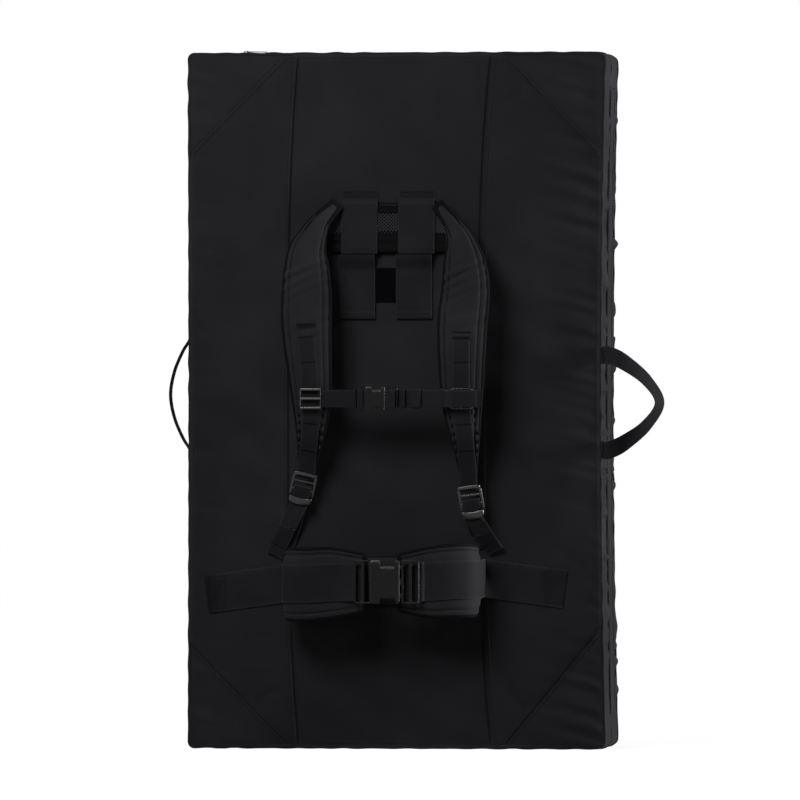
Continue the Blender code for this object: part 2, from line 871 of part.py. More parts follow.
def make_yoke(body):
    columns = stations_between(harness_x - yoke_half_width, harness_x + yoke_half_width, face_step)
    rows = stations_between(yoke_bottom_z, yoke_top_z, face_step)
    face_slab("yoke_pad", columns, rows, 0, yoke_thickness, "strap_cloth", body)
    mesh_half = height_strap_spacing / 2 + wide_webbing / 2
    columns = stations_between(harness_x - mesh_half, harness_x + mesh_half, face_step)
    top = yoke_top_z - yoke_mesh_drop
    rows = stations_between(top - yoke_mesh_height, top, face_step)
    face_slab("yoke_mesh", columns, rows, yoke_thickness + fit_gap, yoke_mesh_thickness, "spacer_mesh", body)


def make_height_straps(body, flaps):
    """Two webbing straps hold the yoke from above; two more, below, stick to the loop patch."""
    for side, suffix in ((-1, "left"), (1, "right")):
        middle = harness_x + side * height_strap_spacing / 2
        columns = stations_between(middle - wide_webbing / 2, middle + wide_webbing / 2, face_step)
        root = height_strap_top_z - height_strap_sewn
        rows = [
            height_strap_seam_z,
            *stations_between(yoke_bottom_z + face_gap, yoke_top_z, face_step),
            root,
            height_strap_top_z,
        ]
        lifts = np.array([[over_yoke if row <= yoke_top_z + face_gap else 0] for row in rows])
        name = "height_strap_" + suffix
        face_slab(name, columns, rows, lifts, webbing_thickness, "webbing", body)
        middle = middle + lower_strap_shift
        columns = stations_between(middle - wide_webbing / 2, middle + wide_webbing / 2, face_step)
        rest = loop_patch_thickness + fit_gap
        flat = stations_between(height_flap_end_z, height_flap_land_z, face_step)
        rows = [*flat, height_flap_bend_z, height_flap_top_z]
        bend = rest + (over_yoke - rest) * height_flap_bend_share
        lifts = np.array([[lift] for lift in (*[rest] * len(flat), bend, over_yoke)])
        name = "height_flap_" + suffix
        face_slab(name, columns, rows, lifts, webbing_thickness, "webbing", flaps[suffix])
    columns = stations_between(harness_x - loop_patch_width / 2, harness_x + loop_patch_width / 2, face_step)
    rows = stations_between(loop_patch_bottom_z, loop_patch_top_z, face_step)
    face_slab("loop_patch", columns, rows, 0, loop_patch_thickness, "hook_and_loop", body)


def strap_frame(side):
    """The shoulder strap's middle line, width direction, outward direction, widths and thicknesses."""
    shares = np.array(left_strap_shares if side < 0 else right_strap_shares)
    rows = np.stack(
        [
            harness_x + side * shares[:, 0] * strap_spread,
            -half_thickness / 2 - shares[:, 2] * strap_bow,
            strap_top_z - shares[:, 1] * strap_drop,
            shares[:, 3] * strap_width,
        ],
        axis=-1,
    )
    curve = smooth_path(rows, strap_steps)
    path = curve[:, :3]
    width = curve[:, 3]
    along = np.linspace(0, 1, strap_steps)
    ends = np.minimum(1, np.minimum(along, 1 - along) / strap_taper_share)
    thickness = strap_tip_thickness + (strap_thickness - strap_tip_thickness) * ends
    tangent = tangents(path)
    across = unit(np.cross(tangent, (0, 1, 0)))
    normal = unit(np.cross(tangent, across))
    return path, across, normal, width, thickness


def lock_place(side):
    """Matrix that puts a ladder lock, modelled upright at the origin, below its strap's tip."""
    path, _, _, _, _ = strap_frame(side)
    tip = path[-1]
    tilt = lock_tilt_left if side < 0 else -lock_tilt_right
    tangent = unit(path[-1] - path[-3])
    centre = tip + tangent * (lock_drop + lock_length / 2)
    lean = math.atan2(tangent[1], -tangent[2])
    return (
        Matrix.Translation(Vector(centre))
        @ Matrix.Rotation(lean, 4, "X")
        @ Matrix.Rotation(tilt, 4, "Y")
    )


def lock_bars():
    """Heights of a ladder lock's three slots' middles, top to bottom, and a slot's half height."""
    pitch = (lock_length - lock_bar) / 3
    half = (pitch - lock_bar) / 2
    return [lock_length / 2 - lock_bar - pitch * k - half for k in range(3)], half


def rounded_outline(width, height, radius, steps):
    """Corner by corner, anticlockwise, in X and Z."""
    points = []
    for turn, (sx, sz) in enumerate(((1, 1), (-1, 1), (-1, -1), (1, -1))):
        for k in range(steps + 1):
            angle = math.pi / 2 * (turn + k / steps)
            points.append(
                (
                    sx * (width / 2 - radius) + radius * math.cos(angle),
                    sz * (height / 2 - radius) + radius * math.sin(angle),
                )
            )
    return points


def plate(name, outline, low_y, high_y):
    """A flat plate with an outline in X and Z."""
    count = len(outline)
    points = [(x, y, z) for y in (low_y, high_y) for x, z in outline]
    faces = [list(range(count)), list(range(2 * count - 1, count - 1, -1))]
    faces += [[i, (i + 1) % count, count + (i + 1) % count, count + i] for i in range(count)]
    return mesh_from(name, points, faces)


def make_ladder_lock(side, suffix, body):
    name = "ladder_lock_" + suffix
    place = lock_place(side)
    outline = rounded_outline(lock_width, lock_length, lock_corner, corner_steps)
    mesh = plate(name, outline, -lock_thickness / 2, lock_thickness / 2)
    mesh.transform(place)
    obj = add_object(name, mesh, "acetal", body)
    slots, half = lock_bars()
    reach = narrow_webbing / 2 + slot_clearance
    for middle in slots:
        cut(obj, (-reach, -overrun, middle - half), (reach, overrun, middle + half), place)


def make_shoulder_strap(side, suffix, body):
    path, across, normal, width, thickness = strap_frame(side)
    name = "shoulder_strap_" + suffix
    edge = np.minimum(strap_edge_thickness, thickness)
    mesh = strip(name, path, across, width, thickness, edge, strap_across)
    add_object(name, mesh, "strap_cloth", body)
    slots, _ = lock_bars()
    place = lock_place(side)
    lift = lock_thickness / 2 + webbing_thickness / 2 + loop_clearance
    top = lock_length / 2
    turn = [(-lift, top), (-lift, slots[0]), (lift, slots[0]), (lift, top)]
    looped = [place @ Vector((0, y, z)) for y, z in turn]
    begin = int(np.argmax(path[:, 2] < daisy_top_z))
    front = path + normal * (thickness / 2 + fit_gap + webbing_thickness / 2)[:, None]
    back = path[-2] - normal[-2] * (thickness[-2] / 2 + webbing_thickness / 2 + 2 * loop_clearance)
    lock_across = np.array(place.to_3x3() @ Vector((1, 0, 0)))
    rows = [
        *[(*point, *side_way) for point, side_way in zip(front[begin:], across[begin:])],
        *[(*point, *lock_across) for point in looped],
        (*back, *across[-1]),
    ]
    line = bent_path(rows, bend_reach)
    name = "daisy_webbing_" + suffix
    mesh = strip(name, line[:, :3], line[:, 3:], narrow_webbing, webbing_thickness)
    add_object(name, mesh, "webbing", body)


def make_adjuster(side, suffix, body):
    """One length of webbing: sewn to the pad, up through the ladder lock, and down in front as its tail."""
    slots, _ = lock_bars()
    place = lock_place(side)
    lift = lock_thickness / 2 + webbing_thickness / 2 + loop_clearance
    tail_lift = lift + webbing_thickness + 2 * loop_clearance
    lowest = -lock_length / 2
    turn = [
        (-lift, lowest - lock_bar),
        (-lift, slots[2]),
        (lift, slots[2]),
        (lift, slots[1]),
        (-tail_lift, slots[1]),
        (-tail_lift, lowest - lock_bar),
    ]
    threaded = [np.array(place @ Vector((0, y, z))) for y, z in turn]
    lock_across = np.array(place.to_3x3() @ Vector((1, 0, 0)))
    x = anchor_left_x if side < 0 else anchor_right_x
    tip_z = strap_frame(side)[0][-1, 2]
    top = tip_z - (anchor_below_left if side < 0 else anchor_below_right)
    way_x, _, way_z = unit(threaded[0] - on_face(x, top, 0))
    way = unit(np.array((way_x, way_z)))
    root = []
    for back in (anchor_sewn, anchor_sewn / 2, 0):
        place_x, place_z = np.array((x, top)) - way * back
        across = face_across(place_x, place_z, (way[1], -way[0]), narrow_webbing)
        root.append((*on_face(place_x, place_z, webbing_thickness / 2), *across))
    tail_x = side * (tail_out_left if side < 0 else tail_out_right)
    tail_drop = tail_drop_left if side < 0 else tail_drop_right
    end = threaded[-1] + np.array((tail_x, tail_back, -tail_drop))
    tail = [(threaded[-1] + end) / 2 + np.array((0, -tail_sag, 0)), end]
    rows = root + [(*point, *lock_across) for point in (*threaded, *tail)]
    line = bent_path(rows, bend_reach)
    name = "adjuster_webbing_" + suffix
    mesh = strip(name, line[:, :3], line[:, 3:], narrow_webbing, webbing_thickness)
    add_object(name, mesh, "webbing", body)


# Side-release buckles


def make_buckle(names, centre, size, bodies):
    """Female half on the left and male half on the right, each with a two-slot ladder for its webbing."""
    length, height, thickness = size
    x0, y0, z0 = centre
    bar = thickness * buckle_ladder_share

    def spot(share_x, z, y):
        return (x0 + share_x * length, y0 + y, z0 + z)

    def cut_slots(obj, turn):
        reach = height * buckle_slot_height_share / 2
        half = buckle_slot_half_share
        for middle in buckle_slot_shares:
            ends = sorted((turn * (middle - half), turn * (middle + half)))
            cut(obj, spot(ends[0], -reach, -overrun), spot(ends[1], reach, overrun))

    female_end, mouth, male_start = buckle_body_shares
    outline = rounded_outline(
        (mouth - female_end) * length, height, height * buckle_corner_share, corner_steps
    )
    mesh = plate(names[0], outline, -thickness / 2, thickness / 2)
    mesh.transform(Matrix.Translation(Vector(spot((mouth + female_end) / 2, 0, 0))))
    female = add_object(names[0], mesh, "acetal", bodies[0])
    reach = (female_end + buckle_end_share + buckle_join_share) * length
    outline = rounded_outline(reach, height, height * buckle_corner_share, corner_steps)
    ladder = plate(names[0] + "_ladder", outline, -bar / 2, bar / 2)
    ladder.transform(
        Matrix.Translation(Vector(spot((female_end - buckle_end_share + buckle_join_share) / 2, 0, 0)))
    )
    join(female, ladder)
    cavity = height * buckle_cavity_share / 2
    deep = thickness * buckle_hollow_share / 2
    cut(female, spot(buckle_cavity_end_share, -cavity, -deep), spot(mouth + buckle_join_share, cavity, deep))
    for sign in (-1, 1):
        ends = sorted((sign * height * buckle_window_share, sign * (height / 2 + overrun)))
        window = buckle_window_ends_shares
        cut(female, spot(window[0], ends[0], -overrun), spot(window[1], ends[1], overrun))
    cut_slots(female, -1)

    reach = (buckle_end_share - male_start) * length
    outline = rounded_outline(reach, height, height * buckle_corner_share, corner_steps)
    mesh = plate(names[1], outline, -bar / 2, bar / 2)
    mesh.transform(Matrix.Translation(Vector(spot((buckle_end_share + male_start) / 2, 0, 0))))
    male = add_object(names[1], mesh, "acetal", bodies[1])
    slim = thickness * buckle_prong_thickness_share / 2
    for low, high, tip in buckle_prong_shares:
        prong = box_mesh(
            names[1] + "_prong",
            spot(tip, low * height, -slim),
            spot(male_start + buckle_join_share, high * height, slim),
        )
        join(male, prong)
    cut_slots(male, 1)


def ladder_thread(length, thickness, webbing):
    """A webbing's turns through a buckle's ladder: shares of length outwards, and heights off its plane."""
    lift = thickness * buckle_ladder_share / 2 + webbing / 2 + loop_clearance
    room = (webbing / 2 + loop_clearance + slot_clearance) / length
    inner, outer = sorted(buckle_slot_shares)
    inner = inner + buckle_slot_half_share - room
    outer = outer - buckle_slot_half_share + room
    return [
        (buckle_entry_share, lift + 2 * loop_clearance),
        (outer, lift),
        (outer, -lift),
        (inner, -lift),
        (inner, lift),
        ((inner + outer) / 2, lift),
    ]


def make_sternum_strap(slide_body, release_body):
    """Two sliders on the shoulder straps' webbing carry a strap with a small buckle across the chest."""
    y = -half_thickness / 2 - sternum_stand
    size = (sternum_buckle_length, sternum_buckle_height, sternum_buckle_thickness)
    centre = (sternum_buckle_x, y, sternum_z)
    make_buckle(("sternum_buckle_female", "sternum_buckle_male"), centre, size, (slide_body, release_body))
    for side, suffix in ((-1, "left"), (1, "right")):
        path, _, _, _, _ = strap_frame(side)
        near = int(np.argmin(np.abs(path[:, 2] - sternum_z)))
        middle = path[near, 0]
        name = "sternum_slider_" + suffix
        outline = rounded_outline(sternum_slider_length, sternum_slider_height, lock_corner, corner_steps)
        mesh = plate(name, outline, -sternum_slider_thickness / 2, sternum_slider_thickness / 2)
        mesh.transform(Matrix.Translation(Vector((middle, y, sternum_z))))
        slider = add_object(name, mesh, "acetal", slide_body)
        pitch = (sternum_slider_length - sternum_slider_bar) / 2
        reach = narrow_webbing / 2 + slot_clearance
        slots = [middle + turn * pitch / 2 for turn in (-1, 1)]
        half = (pitch - sternum_slider_bar) / 2
        for slot in slots:
            low = (slot - half, y - overrun, sternum_z - reach)
            high = (slot + half, y + overrun, sternum_z + reach)
            cut(slider, low, high)
        lift = sternum_slider_thickness / 2 + webbing_thickness / 2 + loop_clearance
        inner, outer = (slots[1], slots[0]) if side < 0 else slots
        edge = middle - side * sternum_slider_length / 2
        turns = [
            (edge, -lift),
            (inner, -lift),
            (inner, lift),
            (outer, lift),
            (outer, -lift),
            (outer + side * sternum_slider_bar, -lift),
        ]
        thread = ladder_thread(sternum_buckle_length, sternum_buckle_thickness, webbing_thickness)
        rows = [(sternum_buckle_x + side * share * sternum_buckle_length, y + rise) for share, rise in thread]
        rows = [*rows[::-1], *[(x, y + rise) for x, rise in turns]]
        line = bent_path([(x, depth, sternum_z) for x, depth in rows], bend_reach)
        name = "sternum_webbing_" + suffix
        mesh = strip(name, line, (0, 0, 1), narrow_webbing, webbing_thickness)
        add_object(name, mesh, "webbing", slide_body)


# The hip belt


def belt_frame(side):
    """The wing's middle line from the pad to the buckle, with its heights and thicknesses."""
    shares = np.array(belt_wing_shares)
    rise = belt_rise_left if side < 0 else belt_rise_right
    half_reach = belt_half_width_left if side < 0 else belt_half_width_right
    rows = np.stack(
        [
            harness_x + side * shares[:, 0] * half_reach,
            -half_thickness / 2 - shares[:, 1] * belt_stand,
            belt_z + shares[:, 2] * rise - belt_wing_drop,
            shares[:, 3] * belt_wing_height,
        ],
        axis=-1,
    )
    return smooth_path(rows, belt_wing_steps)


def make_hip_belt(root, belt_body, release_body):
    columns = stations_between(harness_x - lumbar_half_width, harness_x + lumbar_half_width, face_step)
    middle = belt_z + lumbar_rise
    rows = stations_between(middle - lumbar_height / 2, middle + lumbar_height / 2, face_step / 2)
    profile = cushion_profile(columns, rows, lumbar_thickness, belt_wing_edge)
    face_slab("lumbar_pad", columns, rows, 0, profile, "strap_cloth", root)
    y = -half_thickness / 2 - belt_buckle_stand
    centre = (belt_buckle_x, y, belt_z + belt_buckle_rise)
    size = (belt_buckle_length, belt_buckle_height, belt_buckle_thickness)
    make_buckle(("waist_buckle_female", "waist_buckle_male"), centre, size, (belt_body, release_body))
    for side, suffix in ((-1, "left"), (1, "right")):
        curve = belt_frame(side)
        path = curve[:, :3]
        name = "hip_wing_" + suffix
        mesh = strip(
            name, path, (0, 0, 1), curve[:, 3], belt_wing_thickness, belt_wing_edge, belt_wing_across
        )
        add_object(name, mesh, "strap_cloth", belt_body)
        tangent = tangents(path)
        outward = unit(np.cross(tangent, (0, 0, 1))) * -side
        lift = belt_wing_thickness / 2 + belt_webbing_lift + webbing_thickness / 2
        outside = path + outward * lift
        outside[:, 2] += belt_wing_drop
        skipped = round(belt_wing_steps * belt_skip_share)
        outside = outside[skipped:-skipped]
        root_x = outside[0, 0] + side * belt_bend
        tab_rows = []
        for share in belt_tab_shares:
            x = root_x + side * share * belt_tab_length
            z = outside[0, 2] - belt_tab_drop * share
            across = face_across(x, z, (0, 1), belt_webbing)
            tab_rows.append((*on_face(x, z, webbing_thickness / 2 + face_gap), *across))
        thread = ladder_thread(belt_buckle_length, belt_buckle_thickness, webbing_thickness)
        turns = [
            (centre[0] + side * share * belt_buckle_length, y + height, centre[2]) for share, height in thread
        ]
        rows = [*tab_rows, *[(*point, 0, 0, 1) for point in (*outside, *turns)]]
        line = bent_path(rows, bend_reach)
        name = "belt_webbing_" + suffix
        mesh = strip(name, line[:, :3], line[:, 3:], belt_webbing, webbing_thickness)
        add_object(name, mesh, "webbing", belt_body)


def build():
    clear_scene()
    root = make_body("root", (0, 0, 0))
    far_half = make_body("far_half", (fold_x, fold_y, 0))
    near_zip = make_body("near_zip_pull", (0, depth_y(-1, half_thickness / 2), pad_height))
    far_zip = make_body("far_zip_pull", (0, depth_y(1, half_thickness / 2), pad_height))
    flap_x = -half_width - side_flat - flap_axis_offset
    flap_axis_y = flap_root_y - face_gap
    flap_middle = flap_edge_margin + flap_height / 2
    flap_top = make_body("closure_top", (flap_x, flap_axis_y, pad_height - flap_middle))
    flap_bottom = make_body("closure_bottom", (flap_x, flap_axis_y, flap_middle))
    stand = handle_webbing_thickness / 2 + right_handle_lift
    right_handle_y = float(face_y(right_handle_x, right_handle_z, stand))
    right_handle = make_body("right_grip", (right_handle_x, right_handle_y, right_handle_z))
    harness = make_body("harness", (harness_x, harness_axis_y, harness_axis_z))
    sternum_y = -half_thickness / 2 - sternum_stand
    sternum = make_body("sternum_strap", (harness_x, sternum_y, sternum_z))
    sternum_release = make_body("sternum_release", (sternum_buckle_x, sternum_y, sternum_z))
    belt = make_body("hip_belt", (harness_x, belt_axis_y, belt_z))
    buckle_y = -half_thickness / 2 - belt_buckle_stand
    waist_release = make_body("waist_release", (belt_buckle_x, buckle_y, belt_z))
    seam_y = float(face_y(harness_x, height_strap_seam_z, over_yoke + webbing_thickness / 2))
    flaps = {
        suffix: make_body("height_flap_pull_" + suffix, (harness_x, seam_y, height_strap_seam_z))
        for suffix in ("left", "right")
    }

    make_half("near", -1, root, near_zip)
    for right, top, suffix in (
        (False, True, "top_left"),
        (True, True, "top_right"),
        (False, False, "bottom_left"),
        (True, False, "bottom_right"),
    ):
        make_corner_patch("corner_patch_" + suffix, -1, root, right, top)
    make_half("far", 1, far_half, far_zip)
    make_hinge_strip(far_half)
    make_closure_flap("top", pad_height - flap_middle, flap_top, far_half)
    make_closure_flap("bottom", flap_middle, flap_bottom, far_half)
    make_left_handle(root)
    make_right_handle(right_handle)
    make_yoke(root)
    make_height_straps(root, flaps)
    for side, suffix in ((-1, "left"), (1, "right")):
        make_shoulder_strap(side, suffix, harness)
        make_ladder_lock(side, suffix, harness)
        make_adjuster(side, suffix, harness)
    make_sternum_strap(sternum, sternum_release)
    make_hip_belt(root, belt, waist_release)


build()
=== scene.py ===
"""Dresses the folded bouldering crash pad: sewn covers, harness, webbing and buckles, all in metres.

Surfaces are grids of points worked out with numpy. "Across" is the width of a strap, "along" its length,
"away" the direction that stands off it. The carry face looks to -Y; +X is on the right of the photograph.
"""

import math

import bpy
import numpy as np
from mathutils import Matrix, Vector


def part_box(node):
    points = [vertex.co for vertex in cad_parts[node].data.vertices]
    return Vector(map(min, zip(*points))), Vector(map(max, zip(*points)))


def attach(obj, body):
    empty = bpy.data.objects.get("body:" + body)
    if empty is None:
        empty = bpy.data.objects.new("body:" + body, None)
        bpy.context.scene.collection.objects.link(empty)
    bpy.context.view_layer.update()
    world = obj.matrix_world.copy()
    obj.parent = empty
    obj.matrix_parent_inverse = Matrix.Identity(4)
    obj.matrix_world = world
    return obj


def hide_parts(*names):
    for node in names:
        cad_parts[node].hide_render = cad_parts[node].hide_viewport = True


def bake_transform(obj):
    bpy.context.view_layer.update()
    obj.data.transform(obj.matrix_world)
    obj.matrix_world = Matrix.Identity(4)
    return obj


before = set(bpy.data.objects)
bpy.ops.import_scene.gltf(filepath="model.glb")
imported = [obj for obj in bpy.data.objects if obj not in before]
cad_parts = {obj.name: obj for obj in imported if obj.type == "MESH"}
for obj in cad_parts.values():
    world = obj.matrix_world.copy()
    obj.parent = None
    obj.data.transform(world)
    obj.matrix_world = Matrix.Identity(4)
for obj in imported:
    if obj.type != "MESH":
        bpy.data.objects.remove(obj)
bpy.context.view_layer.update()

# Sizes shared with the frame
fit_gap = 0.0003
face_gap = 0.0005
pad_width = 0.600
pad_height = 1.000
half_thickness = 0.100
crown_height = 0.014
crown_power = 3
side_flat = 0.0025
draw_left = 0.001
draw_right = 0.007
corner_radius = 0.008
rim_low_z = 0.0025
rim_high_z = 0.9975
half_width = pad_width / 2
fold_y = half_thickness / 2 + fit_gap / 2
webbing_thickness = 0.0016
handle_webbing_thickness = 0.0024
narrow_webbing = 0.025
belt_webbing = 0.055
harness_x = -0.010
loop_clearance = 0.0004
bend_reach = 0.0012
bend_share = 0.985
bend_room_share = 0.45
# The least length that a direction is worked out from
least_length = 1e-12

# Sewing
thread_radius = 0.00032
stitch_pitch = 0.0040
stitch_share = 0.74
tack_pitch = 0.0011
tack_radius = thread_radius * 1.25
shortest_tack = 6
tape_thickness = 0.0012


# Small sums


def unit(vectors):
    return vectors / np.maximum(np.linalg.norm(vectors, axis=-1, keepdims=True), least_length)


def stacked(*values):
    """Coordinates side by side in a new last axis, each spread to the shape of the others."""
    return np.stack(np.broadcast_arrays(*values), axis=-1)


def crowded(count):
    """Places from -1 to 1, close together at both ends."""
    return np.sin(np.linspace(-1, 1, count) * math.pi / 2)


def corners_of(node):
    """The low and the high corner of a node of the frame."""
    return [np.array(corner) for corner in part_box(node)]


def smooth_step(low, high, values):
    """0 below low, 1 above high, and a smooth S between."""
    share = np.clip((values - low) / (high - low), 0, 1)
    return share * share * (3 - 2 * share)


def soft_box(values, low, high, edge):
    """1 between low and high, falling smoothly to 0 over edge outside them."""
    return smooth_step(low - edge, low, values) * (1 - smooth_step(high, high + edge, values))


def wander(values, seed, shortest, longest):
    """A smooth wavy line between about -1 and 1: a sum of seven sines with seeded wavelengths and starts."""
    random = np.random.default_rng(seed)
    lengths = random.uniform(shortest, longest, 7)
    starts = random.uniform(0, 2 * math.pi, 7)
    return sum(np.sin(2 * math.pi * values / a + b) for a, b in zip(lengths, starts)) / math.sqrt(7)


def lengths_along(path):
    return np.concatenate([[0], np.cumsum(np.linalg.norm(np.diff(path, axis=0), axis=1))])


def tangents(path):
    runs = unit(np.diff(path, axis=0))
    return unit(np.concatenate([runs[:1], runs[:-1] + runs[1:], runs[-1:]]))


def loop_tangents(path):
    return unit(np.roll(path, -1, axis=0) - np.roll(path, 1, axis=0))


def smooth_path(places, count):
    """Points spread along a smooth curve through the given rows (Catmull-Rom)."""
    rows = np.asarray(places, float)
    rows = np.concatenate([[2 * rows[0] - rows[1]], rows, [2 * rows[-1] - rows[-2]]])
    spans = len(rows) - 3
    where = np.linspace(0, spans, count)
    first = np.minimum(where.astype(int), spans - 1)
    t = (where - first)[:, None]
    a, b, c, d = (rows[first + k] for k in range(4))
    return (2 * b + (c - a) * t + (2 * a - 5 * b + 4 * c - d) * t**2 + (3 * b - a - 3 * c + d) * t**3) / 2


def bent_path(places, reach):
    """Straight runs between the given rows, each corner rounded by a short curve."""
    rows = np.asarray(places, float)
    path = [rows[:1]]
    share = np.linspace(0, 1, 6)[:, None]
    for before, here, after in zip(rows[:-2], rows[1:-1], rows[2:]):
        first, second = before - here, after - here
        lengths = [np.linalg.norm(run[:3]) for run in (first, second)]
        if np.dot(first[:3], second[:3]) / (lengths[0] * lengths[1]) < -bend_share:
            path.append(here[None])
            continue
        start = here + first * min(reach / lengths[0], bend_room_share)
        end = here + second * min(reach / lengths[1], bend_room_share)
        path.append(start * (1 - share) ** 2 + 2 * here * share * (1 - share) + end * share**2)
    path.append(rows[-1:])
    return np.concatenate(path)


def resample(path, spacing):
    """The same line with its points evenly spaced, about spacing apart."""
    run = lengths_along(path[:, :3])
    count = max(2, int(round(run[-1] / spacing)) + 1)
    where = np.linspace(0, run[-1], count)
    return np.stack([np.interp(where, run, path[:, k]) for k in range(path.shape[1])], axis=-1)


# Shapes: points, four-cornered faces, place on the cloth in metres, and wear from 0 to 1


def grid_quads(rows, columns, wrap_rows=False, wrap_columns=False):
    index = np.arange(rows * columns).reshape(rows, columns)
    if wrap_rows:
        index = np.concatenate([index, index[:1]])
    if wrap_columns:
        index = np.concatenate([index, index[:, :1]], axis=1)
    corners = (index[:-1, :-1], index[:-1, 1:], index[1:, 1:], index[1:, :-1])
    return np.stack(corners, axis=-1).reshape(-1, 4)


def shape_of(points, quads, cloth, wear=0.0):
    points = np.asarray(points, float).reshape(-1, 3)
    cloth = np.asarray(cloth, float).reshape(-1, 2)
    wear = np.broadcast_to(np.asarray(wear, float).reshape(-1), (len(points),))
    return {"points": points, "quads": quads, "cloth": cloth, "wear": wear}


def turned_out(shape):
    """A closed shape with its faces pointing outwards."""
    a, b, c, d = (shape["points"][shape["quads"][:, k]] for k in range(4))
    volume = np.sum(a * np.cross(b, c)) + np.sum(a * np.cross(c, d))
    if volume < 0:
        shape["quads"] = shape["quads"][:, ::-1]
    return shape


def turned_to(shape, direction):
    """An open shape whose faces, on the whole, point the given way."""
    a, b, c, d = (shape["points"][shape["quads"][:, k]] for k in range(4))
    if np.sum(np.cross(c - a, d - b) * direction) < 0:
        shape["quads"] = shape["quads"][:, ::-1]
    return shape


def joined(shapes):
    """Several shapes as one."""
    starts = np.cumsum([0] + [len(shape["points"]) for shape in shapes[:-1]])
    whole = {key: np.concatenate([shape[key] for shape in shapes]) for key in ("points", "cloth", "wear")}
    whole["quads"] = np.concatenate([shape["quads"] + start for shape, start in zip(shapes, starts)])
    return whole


def slab(front, back, cloth, wear=0.0):
    """A closed sheet between two grids of points of one size."""
    rows, columns = front.shape[:2]
    quads = grid_quads(rows, columns)
    index = np.arange(rows * columns).reshape(rows, columns)
    rim = np.concatenate([index[0, :-1], index[:-1, -1], index[-1, :0:-1], index[:0:-1, 0]])
    other = rows * columns
    following = np.roll(rim, -1)
    sides = stacked(rim, following, following + other, rim + other)
    faces = np.concatenate([quads, quads[:, ::-1] + other, sides])
    points = np.concatenate([front.reshape(-1, 3), back.reshape(-1, 3)])
    cloth = np.concatenate([cloth.reshape(-1, 2)] * 2)
    wear = np.broadcast_to(wear, (rows, columns)).reshape(-1)
    return turned_out(shape_of(points, faces, cloth, np.concatenate([wear, wear])))


def closed_ring(grid, cloth):
    """A tube that closes on itself both ways, such as the tape bound round an edge."""
    return turned_out(shape_of(grid, grid_quads(*grid.shape[:2], True, True), cloth))


# Across a flat strap, from edge to edge: close together at the rounded edges
strap_shares = np.array((-1, -0.985, -0.95, -0.85, -0.6, -0.3, 0, 0.3, 0.6, 0.85, 0.95, 0.985, 1.0))
selvage_power = 14
selvage_share = 0.12


def flat_strap(path, across, width, thickness):
    """Webbing along a path: flat, with rounded edges."""
    count = len(path)
    tangent = tangents(path)
    across = unit(np.broadcast_to(np.asarray(across, float), path.shape))
    normal = unit(np.cross(tangent, across))
    across = np.cross(normal, tangent)
    reach = np.broadcast_to(width, (count,))[:, None] * strap_shares[None, :] / 2
    half = thickness / 2 * np.maximum(np.sqrt(1 - np.abs(strap_shares) ** selvage_power), selvage_share)
    middle = path[:, None, :] + across[:, None, :] * reach[..., None]
    offset = normal[:, None, :] * half[None, :, None]
    run = np.broadcast_to(lengths_along(path)[:, None], reach.shape)
    wear = np.broadcast_to(np.abs(strap_shares) ** selvage_power, reach.shape)
    return slab(middle + offset, middle - offset, stacked(reach, run), wear)


def carried_profile(path, across, outline, closed=False):
    """A profile in (across, away), one for all or one for each place, carried along a path."""
    tangent = loop_tangents(path) if closed else tangents(path)
    across = unit(np.broadcast_to(np.asarray(across, float), path.shape))
    away = unit(np.cross(tangent, across))
    across = np.cross(away, tangent)
    outline = np.asarray(outline, float)
    outline = outline[None] if outline.ndim == 2 else outline
    grid = path[:, None, :] + across[:, None, :] * outline[..., :1] + away[:, None, :] * outline[..., 1:]
    run = np.broadcast_to(lengths_along(path)[:, None], grid.shape[:2])
    around = np.broadcast_to(lengths_along(outline[0])[None, :], grid.shape[:2])
    if closed:
        return closed_ring(grid, stacked(around, run))
    half = outline.shape[1] // 2
    front = grid[:, :half]
    back = grid[:, half:][:, ::-1]
    return slab(front, back, stacked(around[:, :half], run[:, :half]))


def oval(width, thickness, count=16, power=0.7):
    """A rounded flat section: cosine and sine, each flattened towards a rectangle by the power."""
    angle = (np.arange(count) + 0.5) * 2 * math.pi / count
    turns = stacked(np.cos(angle), np.sin(angle))
    return np.sign(turns) * np.abs(turns) ** power * np.array([width, thickness]) / 2


def bound_edge(loop, away, width, thickness):
    """Tape folded round an edge: an oval carried round the closed line, set inwards so that it wraps it."""
    tangent = loop_tangents(loop)
    outward = unit(np.cross(tangent, away))
    if np.sum(outward * (loop - loop.mean(axis=0))) < 0:
        outward = -outward
    section = oval(width, thickness)[None]
    inset = width / 2 - tape_thickness
    centre = (loop - outward * inset)[:, None, :]
    grid = centre + outward[:, None, :] * section[..., :1] + away[:, None, :] * section[..., 1:]
    return closed_ring(grid, stacked(section[..., 0], lengths_along(loop)[:, None]))


thread_corners = ((1, 0), (0, 1), (-1, 0), (0, -1))
thread_stations = ((0.0, -0.4, 0.5), (0.5, 0.55, 1.0), (1.0, -0.4, 0.5))


def threads(starts, ends, away, radius=thread_radius):
    """Stitches: each a four-sided spindle, standing out in its middle and sunk at both ends."""
    starts, ends = np.asarray(starts, float), np.asarray(ends, float)
    away = unit(np.broadcast_to(np.asarray(away, float), starts.shape))
    side = unit(np.cross(away, ends - starts))
    rings = []
    for along, rise, girth in thread_stations:
        centre = starts + (ends - starts) * along + away * rise * radius
        rings.append([centre + (side * a + away * b) * radius * girth for a, b in thread_corners])
    points = np.transpose(np.array(rings), (2, 0, 1, 3)).reshape(-1, 3)
    one = np.concatenate([grid_quads(3, 4, False, True), [[0, 3, 2, 1], [8, 9, 10, 11]]])
    quads = (one + np.arange(0, len(points), 12)[:, None, None]).reshape(-1, 4)
    return turned_out(shape_of(points, quads, np.zeros((len(points), 2))))


